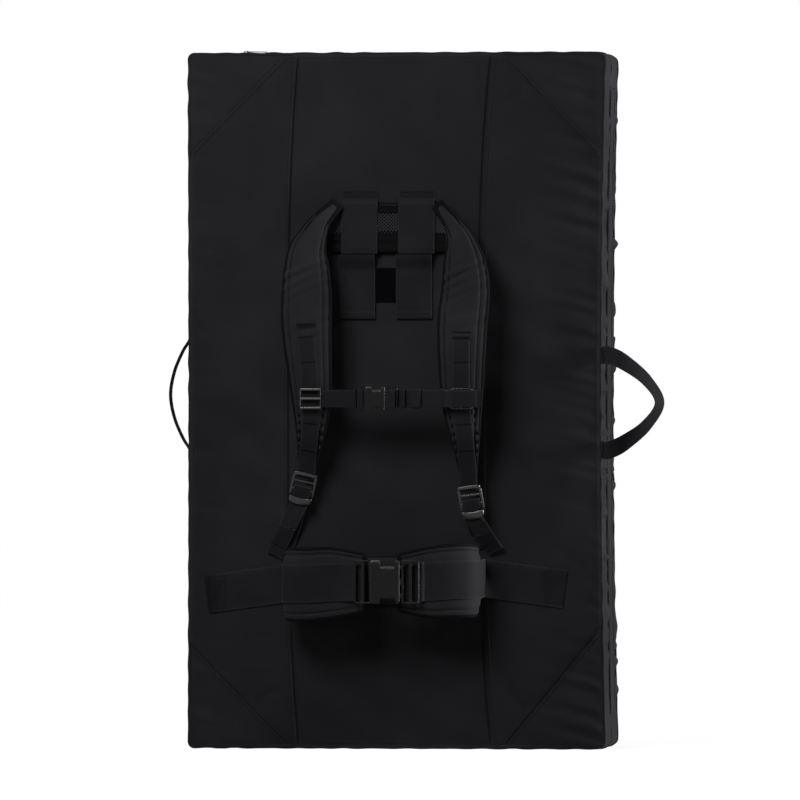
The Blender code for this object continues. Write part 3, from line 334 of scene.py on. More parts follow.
def seam(path, away):
    """A row of stitches along a line; away is the direction off the cloth, for all or for each point."""
    away = np.broadcast_to(np.asarray(away, float), path.shape)
    run = lengths_along(path)
    count = max(1, int(run[-1] / stitch_pitch))
    begin = (np.arange(count) + (1 - stitch_share) / 2) * run[-1] / count
    end = begin + stitch_share * run[-1] / count

    def at(where, values):
        return np.stack([np.interp(where, run, values[:, k]) for k in range(3)], axis=-1)

    return threads(at(begin, path), at(end, path), at((begin + end) / 2, away))


def bar_tack(centre, along, across, away, length, width):
    """A dense zigzag of thread that holds webbing down."""
    count = max(shortest_tack, int(length / tack_pitch))
    place = np.linspace(-0.5, 0.5, count + 1)[:, None] * length
    swing = np.where(np.arange(count + 1) % 2, 0.5, -0.5)[:, None] * width
    points = centre + np.asarray(along) * place + np.asarray(across) * swing
    return threads(points[:-1], points[1:], away, tack_radius)


def add_piece(name, shape, finish, body, node=None, sharp=None, slot=None):
    """Makes the mesh of a shape; it rides on the body, or on none when no body is given."""
    mesh = bpy.data.meshes.new(name)
    points, quads = shape["points"], shape["quads"].astype(np.int32)
    mesh.vertices.add(len(points))
    mesh.vertices.foreach_set("co", points.astype(np.float32).ravel())
    mesh.loops.add(quads.size)
    mesh.loops.foreach_set("vertex_index", quads.ravel())
    mesh.polygons.add(len(quads))
    mesh.polygons.foreach_set("loop_start", np.arange(0, quads.size, 4, dtype=np.int32))
    mesh.update(calc_edges=True)
    layer = mesh.uv_layers.new(name="cloth")
    layer.data.foreach_set("uv", shape["cloth"][quads.ravel()].astype(np.float32).ravel())
    wear = mesh.attributes.new("wear", "FLOAT", "POINT")
    wear.data.foreach_set("value", np.ascontiguousarray(shape["wear"], dtype=np.float32))
    mesh.shade_smooth()
    if sharp is not None:
        mesh.set_sharp_from_angle(angle=math.radians(sharp))
    mesh.validate()
    mesh.materials.append(finishes[finish])
    obj = bpy.data.objects.new(name, mesh)
    bpy.context.collection.objects.link(obj)
    if body is not None:
        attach(obj, body)
    if node:
        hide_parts(node)
    return obj


def add_stitches(name, rows, body):
    return add_piece(name, joined(rows), "sewing_thread", body)


# Finishes


def linear(hex_colour):
    """An sRGB hex colour as linear numbers."""
    channels = [int(hex_colour[i : i + 2], 16) / 255 for i in (0, 2, 4)]
    return [c / 12.92 if c <= 0.04045 else ((c + 0.055) / 1.055) ** 2.4 for c in channels] + [1.0]


def add_node(tree, kind, inputs=None, out=None, **settings):
    """A shader node with its settings, input values and links; gives back the output named, or the node."""
    node = tree.nodes.new("ShaderNode" + kind)
    for key, value in settings.items():
        setattr(node, key, value)
    for key, value in (inputs or {}).items():
        if isinstance(value, bpy.types.NodeSocket):
            tree.links.new(value, node.inputs[key])
        else:
            node.inputs[key].default_value = value
    return node if out is None else node.outputs[out]


def new_finish(name, **surface):
    """A material with its shader's constant values set on the shader itself."""
    material = bpy.data.materials.new(name)
    material.use_nodes = True
    tree = material.node_tree
    shader = tree.nodes["Principled BSDF"]
    for key, value in surface.items():
        shader.inputs[key.replace("_", " ")].default_value = value
    return material, tree, shader


def wire(tree, shader, **inputs):
    """Links outputs to the shader's inputs of those names."""
    for key, value in inputs.items():
        tree.links.new(value, shader.inputs[key.replace("_", " ")])


def wave_scale(spacing):
    """The wave texture's scale that repeats once in spacing metres: it turns 20 radians for each unit."""
    return 2 * math.pi / (20 * spacing)


# How often each pattern repeats in a metre: dye clouds of 110 mm, uneven threads of 2.4 mm, twisted fibres
# of 0.4 mm, loops of the pile and its curls of 1.1 and 1.7 mm, the grain of a mould of 0.6 mm, and rubbed
# places of 14 mm on plastic and 3 mm on metal
cloud_scale, slub_scale, fibre_scale = 9.0, 420.0, 2500.0
pile_scale, curl_scale = 900.0, 600.0
grain_scale, handled_scale, rubbed_scale = 1800.0, 70.0, 320.0
# The knit's lattice, drawn a little coarser than it is so that the render shows it
knit_spacing = 0.0034
knit_relief = 0.0008
pile_relief = 0.0005
thread_relief = 0.0001
mould_relief = 0.00006
# Dull dyed fibres reflect far less than the smooth plastic that they are made of
cloth_gloss = 0.010
fade_range_shares = (0.42, 0.75)
weave_shade_shares = (0.72, 1.06)
rough_spread = (0.06, 0.08)
handled_spread = 0.14


def crossed_waves(tree, spacing, angle, operation, **wave):
    """Two sets of bands at right angles, combined by a sum of their own: threads, or the bars of a knit."""
    cloth = add_node(tree, "UVMap", out="UV", uv_map="cloth")
    turned = add_node(tree, "Mapping", {"Vector": cloth, "Rotation": (0, 0, math.radians(angle))}, "Vector")
    inputs = {"Vector": turned, "Scale": wave_scale(spacing), **wave}
    waves = [add_node(tree, "TexWave", inputs, "Fac", bands_direction=way) for way in ("X", "Y")]
    return add_node(tree, "Math", {0: waves[0], 1: waves[1]}, 0, operation=operation)


def finish_woven(
    name, colour, faded, thread, roughness, relief, sheen=0.01, angle=0, fade=0.35, gloss=cloth_gloss,
):
    """Woven cloth: two sets of threads crossing at the thread spacing, mottled dye, and pale worn edges."""
    surface = {"Sheen_Weight": sheen, "Sheen_Roughness": 0.4, "Specular_IOR_Level": gloss}
    material, tree, shader = new_finish(name, **surface)
    weave = crossed_waves(tree, thread, angle, "MAXIMUM", Distortion=0.6)
    place = add_node(tree, "TexCoord", out="Object")
    cloud = add_node(tree, "TexNoise", {"Vector": place, "Scale": cloud_scale, "Detail": 5.0}, "Fac")
    slub = add_node(tree, "TexNoise", {"Vector": place, "Scale": slub_scale, "Detail": 3.0}, "Fac")
    worn = add_node(tree, "Attribute", out="Fac", attribute_name="wear")
    rubbed = add_node(tree, "Math", {0: worn, 1: slub}, 0, operation="MULTIPLY")
    low, high = fade_range_shares
    dust = {"Value": cloud, "From Min": low, "From Max": high, "To Max": fade}
    dusty = add_node(tree, "MapRange", dust, "Result")
    fading = add_node(tree, "Math", {0: rubbed, 1: dusty}, 0, operation="ADD", use_clamp=True)
    dyed = add_node(tree, "Mix", {0: fading, 6: linear(colour), 7: linear(faded)}, 2, data_type="RGBA")
    low, high = weave_shade_shares
    shade = add_node(tree, "MapRange", {"Value": weave, "To Min": low, "To Max": high}, "Result")
    tint = add_node(tree, "Mix", {0: 1.0, 6: dyed, 7: shade}, 2, data_type="RGBA", blend_type="MULTIPLY")
    smoother, rougher = rough_spread
    rough = {"Value": slub, "To Min": roughness - smoother, "To Max": roughness + rougher}
    height = add_node(tree, "Math", {0: slub, 1: 0.5, 2: weave}, 0, operation="MULTIPLY_ADD")
    bump = add_node(tree, "Bump", {"Height": height, "Strength": 0.7, "Distance": relief}, "Normal")
    wire(tree, shader, Base_Color=tint, Roughness=add_node(tree, "MapRange", rough, "Result"), Normal=bump)
    return material


def pad_nylon():
    # Textured nylon of about 1000 denier: matt near-black with a fine even grain.
    return finish_woven("pad_nylon_weave", "1e1e20", "2c2c2f", 0.0008, 0.66, 0.00012)


def patch_nylon():
    # The doubled cloth of the corners, a closer weave that looks smoother.
    return finish_woven("patch_nylon_weave", "1f1f21", "2e2e31", 0.0007, 0.62, 0.00010)


def landing_nylon():
    # Heavier cloth on the landing side, scuffed paler by shoes.
    return finish_woven(
        "landing_nylon_weave", "222326", "3a3b3e", 0.0010, 0.74, 0.00018, sheen=0.02, fade=0.6,
    )


def band_nylon():
    # Coated cloth of the gusset: the coating fills the weave and leaves it quite dull.
    return finish_woven("band_nylon_weave", "212123", "343437", 0.0008, 0.75, 0.00009, sheen=0.0, gloss=0.0)


def strap_cloth():
    # Finer cloth over the padding of the straps and the belt.
    return finish_woven("strap_cloth_weave", "1f1f21", "313134", 0.0006, 0.64, 0.00009)


def webbing_weave():
    # Flat nylon webbing: slanting rows that catch the light along their slope, and hard edges.
    return finish_woven("nylon_webbing", "1a1a1c", "2d2d30", 0.0013, 0.58, 0.00022, angle=45)


def binding_tape():
    # Ribbed tape folded round the raw edges, darker than the cloth: partly its own dark dye, partly painted
    # shade along the bound edges and in the yoke's recess.
    return finish_woven("grosgrain_tape", "0c0c0d", "19191b", 0.0009, 0.60, 0.00016, sheen=0.0)


def sewing_thread():
    # Bonded polyester thread with a fine twist along each stitch: dark in its own colour, and darker still as
    # painted shade for the seam grooves it lies in.
    surface = {"Base_Color": linear("0a0a0b"), "Roughness": 0.60, "Specular_IOR_Level": 0.01}
    material, tree, shader = new_finish("bonded_thread", **surface)
    place = add_node(tree, "TexCoord", out="Object")
    twist = add_node(tree, "TexNoise", {"Vector": place, "Scale": fibre_scale}, "Fac")
    bump = add_node(tree, "Bump", {"Height": twist, "Strength": 0.4, "Distance": thread_relief}, "Normal")
    wire(tree, shader, Normal=bump)
    return material


def hook_and_loop():
    # Fuzzy loop pile and stiff hooks: very matt and very dark.
    material, tree, shader = new_finish("hook_and_loop_pile", Roughness=0.95, Specular_IOR_Level=0.02)
    place = add_node(tree, "TexCoord", out="Object")
    pile = add_node(tree, "TexVoronoi", {"Vector": place, "Scale": pile_scale}, "Distance")
    curls = add_node(tree, "TexNoise", {"Vector": place, "Scale": curl_scale, "Detail": 4.0}, "Fac")
    tint = add_node(tree, "Mix", {0: curls, 6: linear("020203"), 7: linear("09090b")}, 2, data_type="RGBA")
    height = add_node(tree, "Math", {0: pile, 1: curls}, 0, operation="ADD")
    bump = add_node(tree, "Bump", {"Height": height, "Strength": 0.9, "Distance": pile_relief}, "Normal")
    wire(tree, shader, Base_Color=tint, Normal=bump)
    return material


def spacer_mesh():
    # Knitted spacer mesh: rows of small holes in a grey lattice, the holes painted near-black as the shade
    # inside them.
    material, tree, shader = new_finish("spacer_mesh_knit", Roughness=0.7, Specular_IOR_Level=cloth_gloss)
    knit = crossed_waves(tree, knit_spacing, 45, "MULTIPLY")
    hole = add_node(tree, "MapRange", {"Value": knit, "From Min": 0.2, "From Max": 0.5}, "Result")
    tint = add_node(tree, "Mix", {0: hole, 6: linear("29292c"), 7: linear("030303")}, 2, data_type="RGBA")
    relief = {"Height": hole, "Strength": 0.9, "Distance": knit_relief}
    wire(tree, shader, Base_Color=tint, Normal=add_node(tree, "Bump", relief, "Normal", invert=True))
    return material


def acetal(name, gloss, smoothest):
    """Injection-moulded acetal: black, with a fine grain, slightly rubbed."""
    material, tree, shader = new_finish(name, Base_Color=linear("0c0c0e"), Specular_IOR_Level=gloss)
    place = add_node(tree, "TexCoord", out="Object")
    grain = add_node(tree, "TexNoise", {"Vector": place, "Scale": grain_scale, "Detail": 2.0}, "Fac")
    rub = add_node(tree, "TexNoise", {"Vector": place, "Scale": handled_scale, "Detail": 4.0}, "Fac")
    spread = {"Value": rub, "To Min": smoothest, "To Max": smoothest + handled_spread}
    rough = add_node(tree, "MapRange", spread, "Result")
    bump = add_node(tree, "Bump", {"Height": grain, "Strength": 0.35, "Distance": mould_relief}, "Normal")
    wire(tree, shader, Roughness=rough, Normal=bump)
    return material


def moulded_acetal():
    # The big buckle's spark-eroded faces: semi-gloss.
    return acetal("moulded_acetal", 0.11, 0.20)


def polished_acetal():
    # The small frames that webbing slides through: smooth and shiny along their rounded bars.
    return acetal("polished_acetal", 0.40, 0.22)


def blackened_zinc():
    # Die-cast zinc with a black finish that rubs through to grey on the slider.
    material, tree, shader = new_finish("blackened_zinc", Metallic=1.0)
    place = add_node(tree, "TexCoord", out="Object")
    rub = add_node(tree, "TexNoise", {"Vector": place, "Scale": rubbed_scale, "Detail": 5.0}, "Fac")
    tint = add_node(tree, "Mix", {0: rub, 6: linear("161618"), 7: linear("343538")}, 2, data_type="RGBA")
    rough = add_node(tree, "MapRange", {"Value": rub, "To Min": 0.28, "To Max": 0.5}, "Result")
    wire(tree, shader, Base_Color=tint, Roughness=rough)
    return material


def foam(name, pale, dark, cell):
    """Cut foam: round cells of the given size, with the pores painted darker as the shade inside them."""
    material, tree, shader = new_finish(name, Roughness=0.95)
    place = add_node(tree, "TexCoord", out="Object")
    cells = add_node(tree, "TexVoronoi", {"Vector": place, "Scale": 1 / cell}, "Distance")
    tint = add_node(tree, "Mix", {0: cells, 6: linear(dark), 7: linear(pale)}, 2, data_type="RGBA")
    bump = add_node(tree, "Bump", {"Height": cells, "Strength": 0.8, "Distance": cell}, "Normal")
    wire(tree, shader, Base_Color=tint, Normal=bump)
    return material


def open_cell_foam():
    # Charcoal-grey polyurethane: soft and full of open pores.
    return foam("open_cell_foam_cut", "8f969e", "4d5156", 0.0018)


def closed_cell_foam():
    # Dense polyethylene sheet: a finer, tighter skin.
    return foam("closed_cell_foam_cut", "3a3c41", "202124", 0.0009)


finishes = {
    make.__name__: make()
    for make in (
        pad_nylon, patch_nylon, landing_nylon, band_nylon, strap_cloth, webbing_weave, binding_tape,
        sewing_thread, hook_and_loop, spacer_mesh, moulded_acetal, polished_acetal, blackened_zinc,
        open_cell_foam, closed_cell_foam,
    )
}


# The pad's own form

channel_left_x = -0.150
channel_right_x = 0.125
# Where each channel runs halfway up, and how much further right at the rims
channel_lines = ((-0.1535, 0.0135), (0.1205, 0.0175))
channel_bow_power = 3
channel_sides = ((0, -1), (1, 1))
channel_groove = 0.0030
channel_groove_reach = 0.0026
channel_fold = 0.0004
channel_fold_start = 0.0012
channel_fold_width = 0.0075
channel_fold_edge = 0.0015
channel_seams = (0.0022, 0.0070)
channel_seam_end = 0.006
face_seam_inset = 0.0055
face_step = 0.0040
fine_step = 0.0007
fine_reach = 0.0105
rim_fade = 0.012
rim_wear_reach = 0.010
rim_wear_share = 0.8


def bell(z):
    """1 halfway up, 0 at the rims."""
    return 1 - (2 * z / pad_height - 1) ** 2


def corner_cut(z):
    """How far a rounded corner draws the side in at this height."""
    near = np.minimum(np.abs(z - rim_low_z), np.abs(rim_high_z - z))
    rest = np.clip(corner_radius - near, 0, corner_radius)
    return corner_radius - np.sqrt(corner_radius**2 - rest**2)


def edge_left(z):
    return -half_width + draw_left * bell(z) + corner_cut(z)


def edge_right(z):
    return half_width - draw_right * bell(z) - corner_cut(z)


def rim_distance(x, z):
    """How far a place on a face lies from the nearest rim."""
    beside = np.minimum(x - edge_left(z), edge_right(z) - x)
    return np.minimum(beside, np.minimum(z - rim_low_z, rim_high_z - z))


def pillow(x, z):
    """How far the filled carry face stands out over its rim."""
    u = np.abs(x / half_width)
    v = np.abs(2 * z / pad_height - 1)
    return crown_height * np.maximum(0, 1 - u**crown_power) * np.maximum(0, 1 - v**crown_power)


def depth_y(side, depth):
    """Y of a place that lies depth away from the folding plane, on the near (-1) or far (+1) side."""
    return fold_y + side * (fit_gap / 2 + depth)


def channel_x(which, z):
    middle, bow = channel_lines[which]
    return middle + bow * np.abs(2 * z / pad_height - 1) ** channel_bow_power


# Folds that the photograph shows on the carry face: from x, z to x, z, in shares of its half width and height
fold_table_shares = (
    (0.80, 0.850, 0.97, 0.845), (0.76, 0.815, 0.97, 0.808), (0.82, 0.780, 0.97, 0.775),
    (0.70, 0.745, 0.97, 0.748), (0.78, 0.705, 0.97, 0.700), (0.72, 0.670, 0.97, 0.668),
    (0.80, 0.630, 0.97, 0.628), (0.74, 0.590, 0.97, 0.596), (0.82, 0.545, 0.97, 0.540),
    (0.76, 0.470, 0.97, 0.462), (0.80, 0.430, 0.97, 0.425), (-0.80, 0.720, -0.97, 0.712),
    (-0.84, 0.600, -0.97, 0.604), (-0.80, 0.420, -0.97, 0.428), (0.44, 0.900, 0.60, 0.948),
    (-0.48, 0.905, -0.60, 0.950), (-0.50, 0.110, -0.66, 0.062), (0.46, 0.115, 0.62, 0.060),
    (0.56, 0.330, 0.93, 0.250), (-0.62, 0.300, -0.93, 0.215),
)
fold_half_width = 0.0065
fold_depth = 0.0013
fold_wave = 7
fold_spread = 40
fold_rise_share = 0.8
fold_end_shares = (1.0, 1.15)
sag_depth = 0.0008
sag_across = (0.08, 0.22)
sag_along = (0.10, 0.26)
fine_fold_share = 0.55
fine_fold_right_shares = (0.6, 1.0)
fine_fold_left_shares = (0.75, 1.0)
fine_fold_lengths = (0.016, 0.034)
# Where the harness lies on the face: low x, high x, low z, high z, and the soft edge round it
calm_boxes = ((-0.125, 0.105, 0.610, 0.805, 0.020), (-0.290, 0.275, 0.175, 0.330, 0.015))
calm_fold_share = 0.3
calm_groove_share = 0.8


def calm(x, z):
    """1 where something lies on the carry face, 0 away from it."""
    whole = np.zeros(np.shape(x))
    for low_x, high_x, low_z, high_z, edge in calm_boxes:
        whole = np.maximum(whole, soft_box(x, low_x, high_x, edge) * soft_box(z, low_z, high_z, edge))
    return whole


def face_folds(x, z):
    """Drawn-in folds: valleys along short lines, deepest near the rim, and a broad uneven sag."""
    total = np.zeros(np.shape(x))
    for x0, z0, x1, z1 in fold_table_shares:
        start = np.array((x0 * half_width, z0 * pad_height))
        run = np.array((x1 * half_width, z1 * pad_height)) - start
        length = np.linalg.norm(run)
        along = ((x - start[0]) * run[0] + (z - start[1]) * run[1]) / length**2
        off = ((x - start[0]) * run[1] - (z - start[1]) * run[0]) / length
        off = off + fold_half_width / 2 * np.sin(fold_wave * along + fold_spread * x0)
        deep = smooth_step(0, fold_rise_share, along) * (1 - smooth_step(*fold_end_shares, along))
        total = total - deep * np.exp(-((off / fold_half_width) ** 2))
    broad = wander(x + 0.6 * z, 11, *sag_across) * wander(z - 0.4 * x, 12, *sag_along)
    near_right = smooth_step(*fine_fold_right_shares, x / half_width)
    near_left = smooth_step(*fine_fold_left_shares, -x / half_width)
    fine = wander(z + 0.25 * x, 13, *fine_fold_lengths) * (near_right + near_left / 2)
    return fold_depth * total + sag_depth * broad + fine_fold_share * fold_depth * fine


def face_relief(x, z):
    """What the cloth adds to the pillow: the channels' grooves, the fold of each seam, and the wrinkles."""
    groove = np.zeros(np.shape(x))
    for which, outward in channel_sides:
        off = (x - channel_x(which, z)) * outward
        groove = groove - channel_groove * np.exp(-((off / channel_groove_reach) ** 2))
        beside = soft_box(off, channel_fold_start, channel_fold_width, channel_fold_edge)
        groove = groove + channel_fold * beside
    fade = smooth_step(0, rim_fade, rim_distance(x, z))
    folds = face_folds(x, z)
    still = calm(x, z)
    folds = folds * (1 - still) + np.minimum(folds, 0) * still * calm_fold_share
    return fade * (groove * (1 - still * calm_groove_share) + folds)


def face_depth(x, z):
    """How far the outside of a carry face lies from the folding plane."""
    return half_thickness + pillow(x, z) + face_relief(x, z)


def on_face(x, z, lift):
    """Places that stand lift in front of the carry face, over what the frame's own face allows."""
    x, z = np.broadcast_arrays(np.asarray(x, float), np.asarray(z, float))
    return stacked(x, depth_y(-1, half_thickness + pillow(x, z) + face_gap + lift), z)


def dense_places(low, high, step, marks, reach, fine):
    """Evenly spaced places, with closer ones round each mark."""
    places = np.arange(low, high + step / 2, step)
    for mark in marks:
        places = places[np.abs(places - mark) > reach]
        places = np.concatenate([places, np.arange(mark - reach, mark + reach + fine / 2, fine)])
    return np.unique(np.clip(np.concatenate([[low], places, [high]]), low, high).round(6))


def rim_rows(step):
    """Heights of rows up the pad, close together round the corners."""
    angles = np.linspace(0, math.pi / 2, 9)
    low = rim_low_z + corner_radius * (1 - np.cos(angles))
    high = rim_high_z - corner_radius * (1 - np.cos(angles[::-1]))
    middle = np.linspace(low[-1], high[0], int((high[0] - low[-1]) / step) + 1)[1:-1]
    return np.concatenate([low, middle, high])


def make_carry_panel(prefix, side, body):
    """The outer face: columns follow the two channels, and the border turns in towards the band."""
    knots = (-half_width, channel_left_x, channel_right_x, half_width)
    columns = dense_places(-half_width, half_width, face_step, knots[1:3], fine_reach, fine_step)
    u, z = np.meshgrid(columns, rim_rows(face_step))
    spots = (edge_left(z), channel_x(0, z), channel_x(1, z), edge_right(z))
    x = spots[0]
    for k in range(len(knots) - 1):
        share = np.clip((u - knots[k]) / (knots[k + 1] - knots[k]), 0, 1)
        x = x + share * (spots[k + 1] - spots[k])
    grid = stacked(x, depth_y(side, face_depth(x, z)), z)
    wear = rim_wear_share * (1 - smooth_step(0, rim_wear_reach, rim_distance(x, z)))
    shape = turned_to(shape_of(grid, grid_quads(*x.shape), stacked(x, z), wear), (0, side, 0))
    panel = add_piece(prefix + "_carry_cover", shape, "pad_nylon", body, prefix + "_carry_panel")
    rows = []
    heights = np.linspace(rim_low_z + channel_seam_end, rim_high_z - channel_seam_end, 400)
    for which, outward in channel_sides:
        for offset in channel_seams:
            rows.append((channel_x(which, heights) + outward * offset, heights))
    heights = np.linspace(rim_low_z + corner_radius, rim_high_z - corner_radius, 300)
    spans = np.linspace(-half_width + corner_radius, half_width - corner_radius, 200)
    rows.append((edge_left(heights) + face_seam_inset, heights))
    rows.append((edge_right(heights) - face_seam_inset, heights))
    rows.append((spans, np.full(spans.shape, rim_high_z - face_seam_inset)))
    rows.append((spans, np.full(spans.shape, rim_low_z + face_seam_inset)))
    lines = [stacked(a, depth_y(side, face_depth(a, b)), b) for a, b in rows]
    add_stitches(prefix + "_carry_stitches", [seam(line, (0, side, 0)) for line in lines], body)


def outline_loop(step):
    """The pad's outline as one loop with its outward directions: up the right, over the top, and back."""
    rows = rim_rows(step)
    right = stacked(edge_right(rows), rows)
    left = stacked(edge_left(rows[::-1]), rows[::-1])
    spans = np.linspace(half_width - corner_radius, -half_width + corner_radius, int(pad_width / step))[1:-1]
    loop = np.concatenate([right, stacked(spans, rim_high_z), left, stacked(spans[::-1], rim_low_z)])
    tangent = loop_tangents(loop)
    return loop, stacked(tangent[:, 1], -tangent[:, 0])


zip_length = 0.460
zip_slit = 0.010
pucker_depth = 0.0030
# The gusset's points: spacing round the pad, rows across it, and how far its edges stay from the faces
band_step = 0.0032
band_rows = 29
band_margin = 0.0006
band_seam_share = 1 / 12
band_wear_share = 0.7
still_pucker_share = 0.15
# Shortest and longest pucker by the carry seam, by the landing seam and between them, and how they wander
carry_puckers = (0.016, 0.052)
landing_puckers = (0.020, 0.060)
middle_puckers = (0.034, 0.095)
pucker_drift = 0.010
drift_lengths = (0.06, 0.17)
left_pucker_share = 0.15
end_pucker_share = 0.10
# Where puckers run: height of the right side, height of the left side, and x where each side begins
right_pucker_z = (0.085, 0.895)
left_pucker_z = (0.06, 0.94)
side_start_x = (0.2, 0.29)
pucker_fade = 0.03
# What lies on the gusset and holds it flat
strip_calm_z = (0.045, 0.955)
strip_calm_shares = (0.36, 0.44)
flap_calm_z = ((0.0, 0.180), (0.820, 1.0))
near_flap_shares = (0.44, 0.55)
far_flap_shares = (0.2, 0.3)
handle_calm_z = (0.395, 0.622)
handle_calm_shares = (0.34, 0.66)
zip_calm_shares = (0.30, 0.70)
calm_share_edge = 0.06
calm_x = 0.25
strip_calm_edge = 0.01
flap_calm_edge = 0.008
top_calm_edge = 0.02
calm_top_z = 0.99
calm_floor_z = 0.01


def band_puckers(loop, share, side):
    """Puckers of the gusset: short ridges square to both seams, strongest on the long right side."""
    x, z = loop[:, :1], loop[:, 1:]
    run = lengths_along(loop)[:, None]
    drift = pucker_drift * np.sin(math.pi * share) * wander(run, 31, *drift_lengths)
    near_carry = wander(run + drift, 32 + side, *carry_puckers)
    near_landing = wander(run - drift, 42 + side, *landing_puckers)
    middle = wander(run + 3 * drift, 52 + side, *middle_puckers)
    ridge = near_carry * share**1.5 + near_landing * (1 - share) ** 1.5 + middle * np.sin(math.pi * share)
    right = smooth_step(*side_start_x, x) * soft_box(z, *right_pucker_z, pucker_fade)
    left = left_pucker_share * smooth_step(*side_start_x, -x) * soft_box(z, *left_pucker_z, pucker_fade)
    return ridge * np.maximum(np.maximum(right, left), end_pucker_share)


def band_calm(loop, share, side):
    """1 where the hinge strip, the flaps, the handle's ends or the zip lie on the gusset."""
    x, z = loop[:, :1], loop[:, 1:]
    strip = (x > calm_x) * soft_box(z, *strip_calm_z, strip_calm_edge)
    strip = strip * (1 - smooth_step(*strip_calm_shares, share))
    flap = 1 - smooth_step(*near_flap_shares, share) if side < 0 else smooth_step(*far_flap_shares, share)
    rows = [(z_range, flap) for z_range in flap_calm_z]
    if side < 0:
        rows.append((handle_calm_z, soft_box(share, *handle_calm_shares, calm_share_edge)))
    left = [(x < -calm_x) * soft_box(z, *z_range, flap_calm_edge) * reach for z_range, reach in rows]
    top = (z > calm_top_z) * soft_box(share, *zip_calm_shares, calm_share_edge)
    top = top * soft_box(x, -calm_x, calm_x, top_calm_edge)
    floor = (z < calm_floor_z) * np.ones(share.shape)
    return np.maximum.reduce([strip, *left, top, floor])


def make_side_band(prefix, side, body):
    """The gusset: bulged between its seams, puckered along them, and open at the zip."""
    loop, outward = outline_loop(band_step)
    slit = zip_slit / half_thickness / 2
    shares = np.concatenate([np.linspace(0, 1, band_rows), [0.5 - slit, 0.5 + slit]])
    shares = np.unique(shares.round(5))[None, :]
    depth = band_margin + (half_thickness - 2 * band_margin) * shares
    puff = side_flat * (1 - np.abs(2 * shares - 1) ** 3)
    still = band_calm(loop, shares, side)
    seamed = np.minimum(1, np.minimum(shares, 1 - shares) / band_seam_share)
    ridge = pucker_depth * band_puckers(loop, shares, side) * seamed
    rise = puff + ridge * (1 - still) + np.minimum(ridge, 0) * still * still_pucker_share
    x = loop[:, :1] + outward[:, :1] * rise
    z = np.maximum(loop[:, 1:] + outward[:, 1:] * rise, 0)
    grid = stacked(x, depth_y(side, depth), z)
    shares = np.broadcast_to(shares, x.shape)
    quads = grid_quads(*x.shape, wrap_rows=True)
    centre = grid.reshape(-1, 3)[quads].mean(axis=1)
    spread = shares.reshape(-1)[quads].mean(axis=1)
    over = (np.abs(centre[:, 0]) < zip_length / 2) & (centre[:, 2] > pad_height / 2)
    open_zip = over & (np.abs(spread - 0.5) < slit)
    wear = band_wear_share * np.abs(2 * shares - 1) ** 12
    shape = shape_of(grid, quads[~open_zip], stacked(depth, lengths_along(loop)[:, None]), wear)
    a, b, c, d = (shape["points"][shape["quads"][:, k]] for k in range(4))
    middle = np.array((0, depth_y(side, half_thickness / 2), pad_height / 2))
    if np.sum(np.cross(c - a, d - b) * (a - middle)) < 0:
        shape["quads"] = shape["quads"][:, ::-1]
    band = add_piece(prefix + "_gusset", shape, "band_nylon", body, prefix + "_side_band")
    make_rim_seams(prefix, side, body, loop, outward)


# Depth from the folding plane, radius, and how far it stands out: by the carry face, by the landing face
rim_rolls = ((half_thickness - 0.0008, 0.0014, 0.0006), (0.0016, 0.0012, 0.0002))
rim_roll_wave = 0.0004
rim_roll_lengths = (0.02, 0.05)
rim_roll_corners = 8


def make_rim_seams(prefix, side, body, loop, outward):
    """The two seams of a half: a narrow rolled edge where the gusset meets each face."""
    away = stacked(outward[:, 0], 0, outward[:, 1])
    run = lengths_along(loop)[:, None]
    angle = np.arange(rim_roll_corners) * 2 * math.pi / rim_roll_corners
    rolls = []
    for depth, radius, proud in rim_rolls:
        centre = stacked(loop[:, 0], depth_y(side, depth), loop[:, 1])
        centre = centre + away * (proud + rim_roll_wave * wander(run, 61, *rim_roll_lengths))
        centre[:, 2] = np.maximum(centre[:, 2], radius)
        ring = away[:, None, :] * np.cos(angle)[None, :, None]
        ring = ring + np.array((0, 1, 0)) * np.sin(angle)[None, :, None]
        rolls.append(closed_ring(centre[:, None, :] + ring * radius, stacked(angle[None, :] * radius, run)))
    add_piece(prefix + "_rim_seams", joined(rolls), "band_nylon", body)


landing_columns = 120
landing_step = 0.0075
landing_sink = 0.0005
landing_sink_most = 0.001
# Shortest and longest wave of each uneven surface, across and along it
landing_waves = ((0.05, 0.2), (0.06, 0.25))


def make_landing_panel(prefix, side, body):
    """The inner face: flat on its foam, with shallow sags that only sink inwards."""
    u, z = np.meshgrid(np.linspace(0, 1, landing_columns), rim_rows(landing_step))
    x = edge_left(z) + (edge_right(z) - edge_left(z)) * u
    uneven = wander(x + 0.5 * z, 71, *landing_waves[0]) * wander(z, 72, *landing_waves[1])
    sink = np.clip(landing_sink * (1 + uneven) / 2, 0, landing_sink_most)
    shape = shape_of(stacked(x, depth_y(side, sink), z), grid_quads(*x.shape), stacked(x, z))
    shape = turned_to(shape, (0, -side, 0))
    panel = add_piece(prefix + "_landing_cover", shape, "landing_nylon", body, prefix + "_landing_panel")


# How far the cover's puckers press the foam's cut edges in
foam_pressed_in = 0.0045
foam_layers = (
    ("landing_foam", "closed_cell_foam"), ("core_foam", "open_cell_foam"), ("base_foam", "closed_cell_foam"),
)
foam_edge_power = 60
foam_edge_share = 0.3
foam_sheet_thickness = 0.010
cover_over_foam = 0.0034


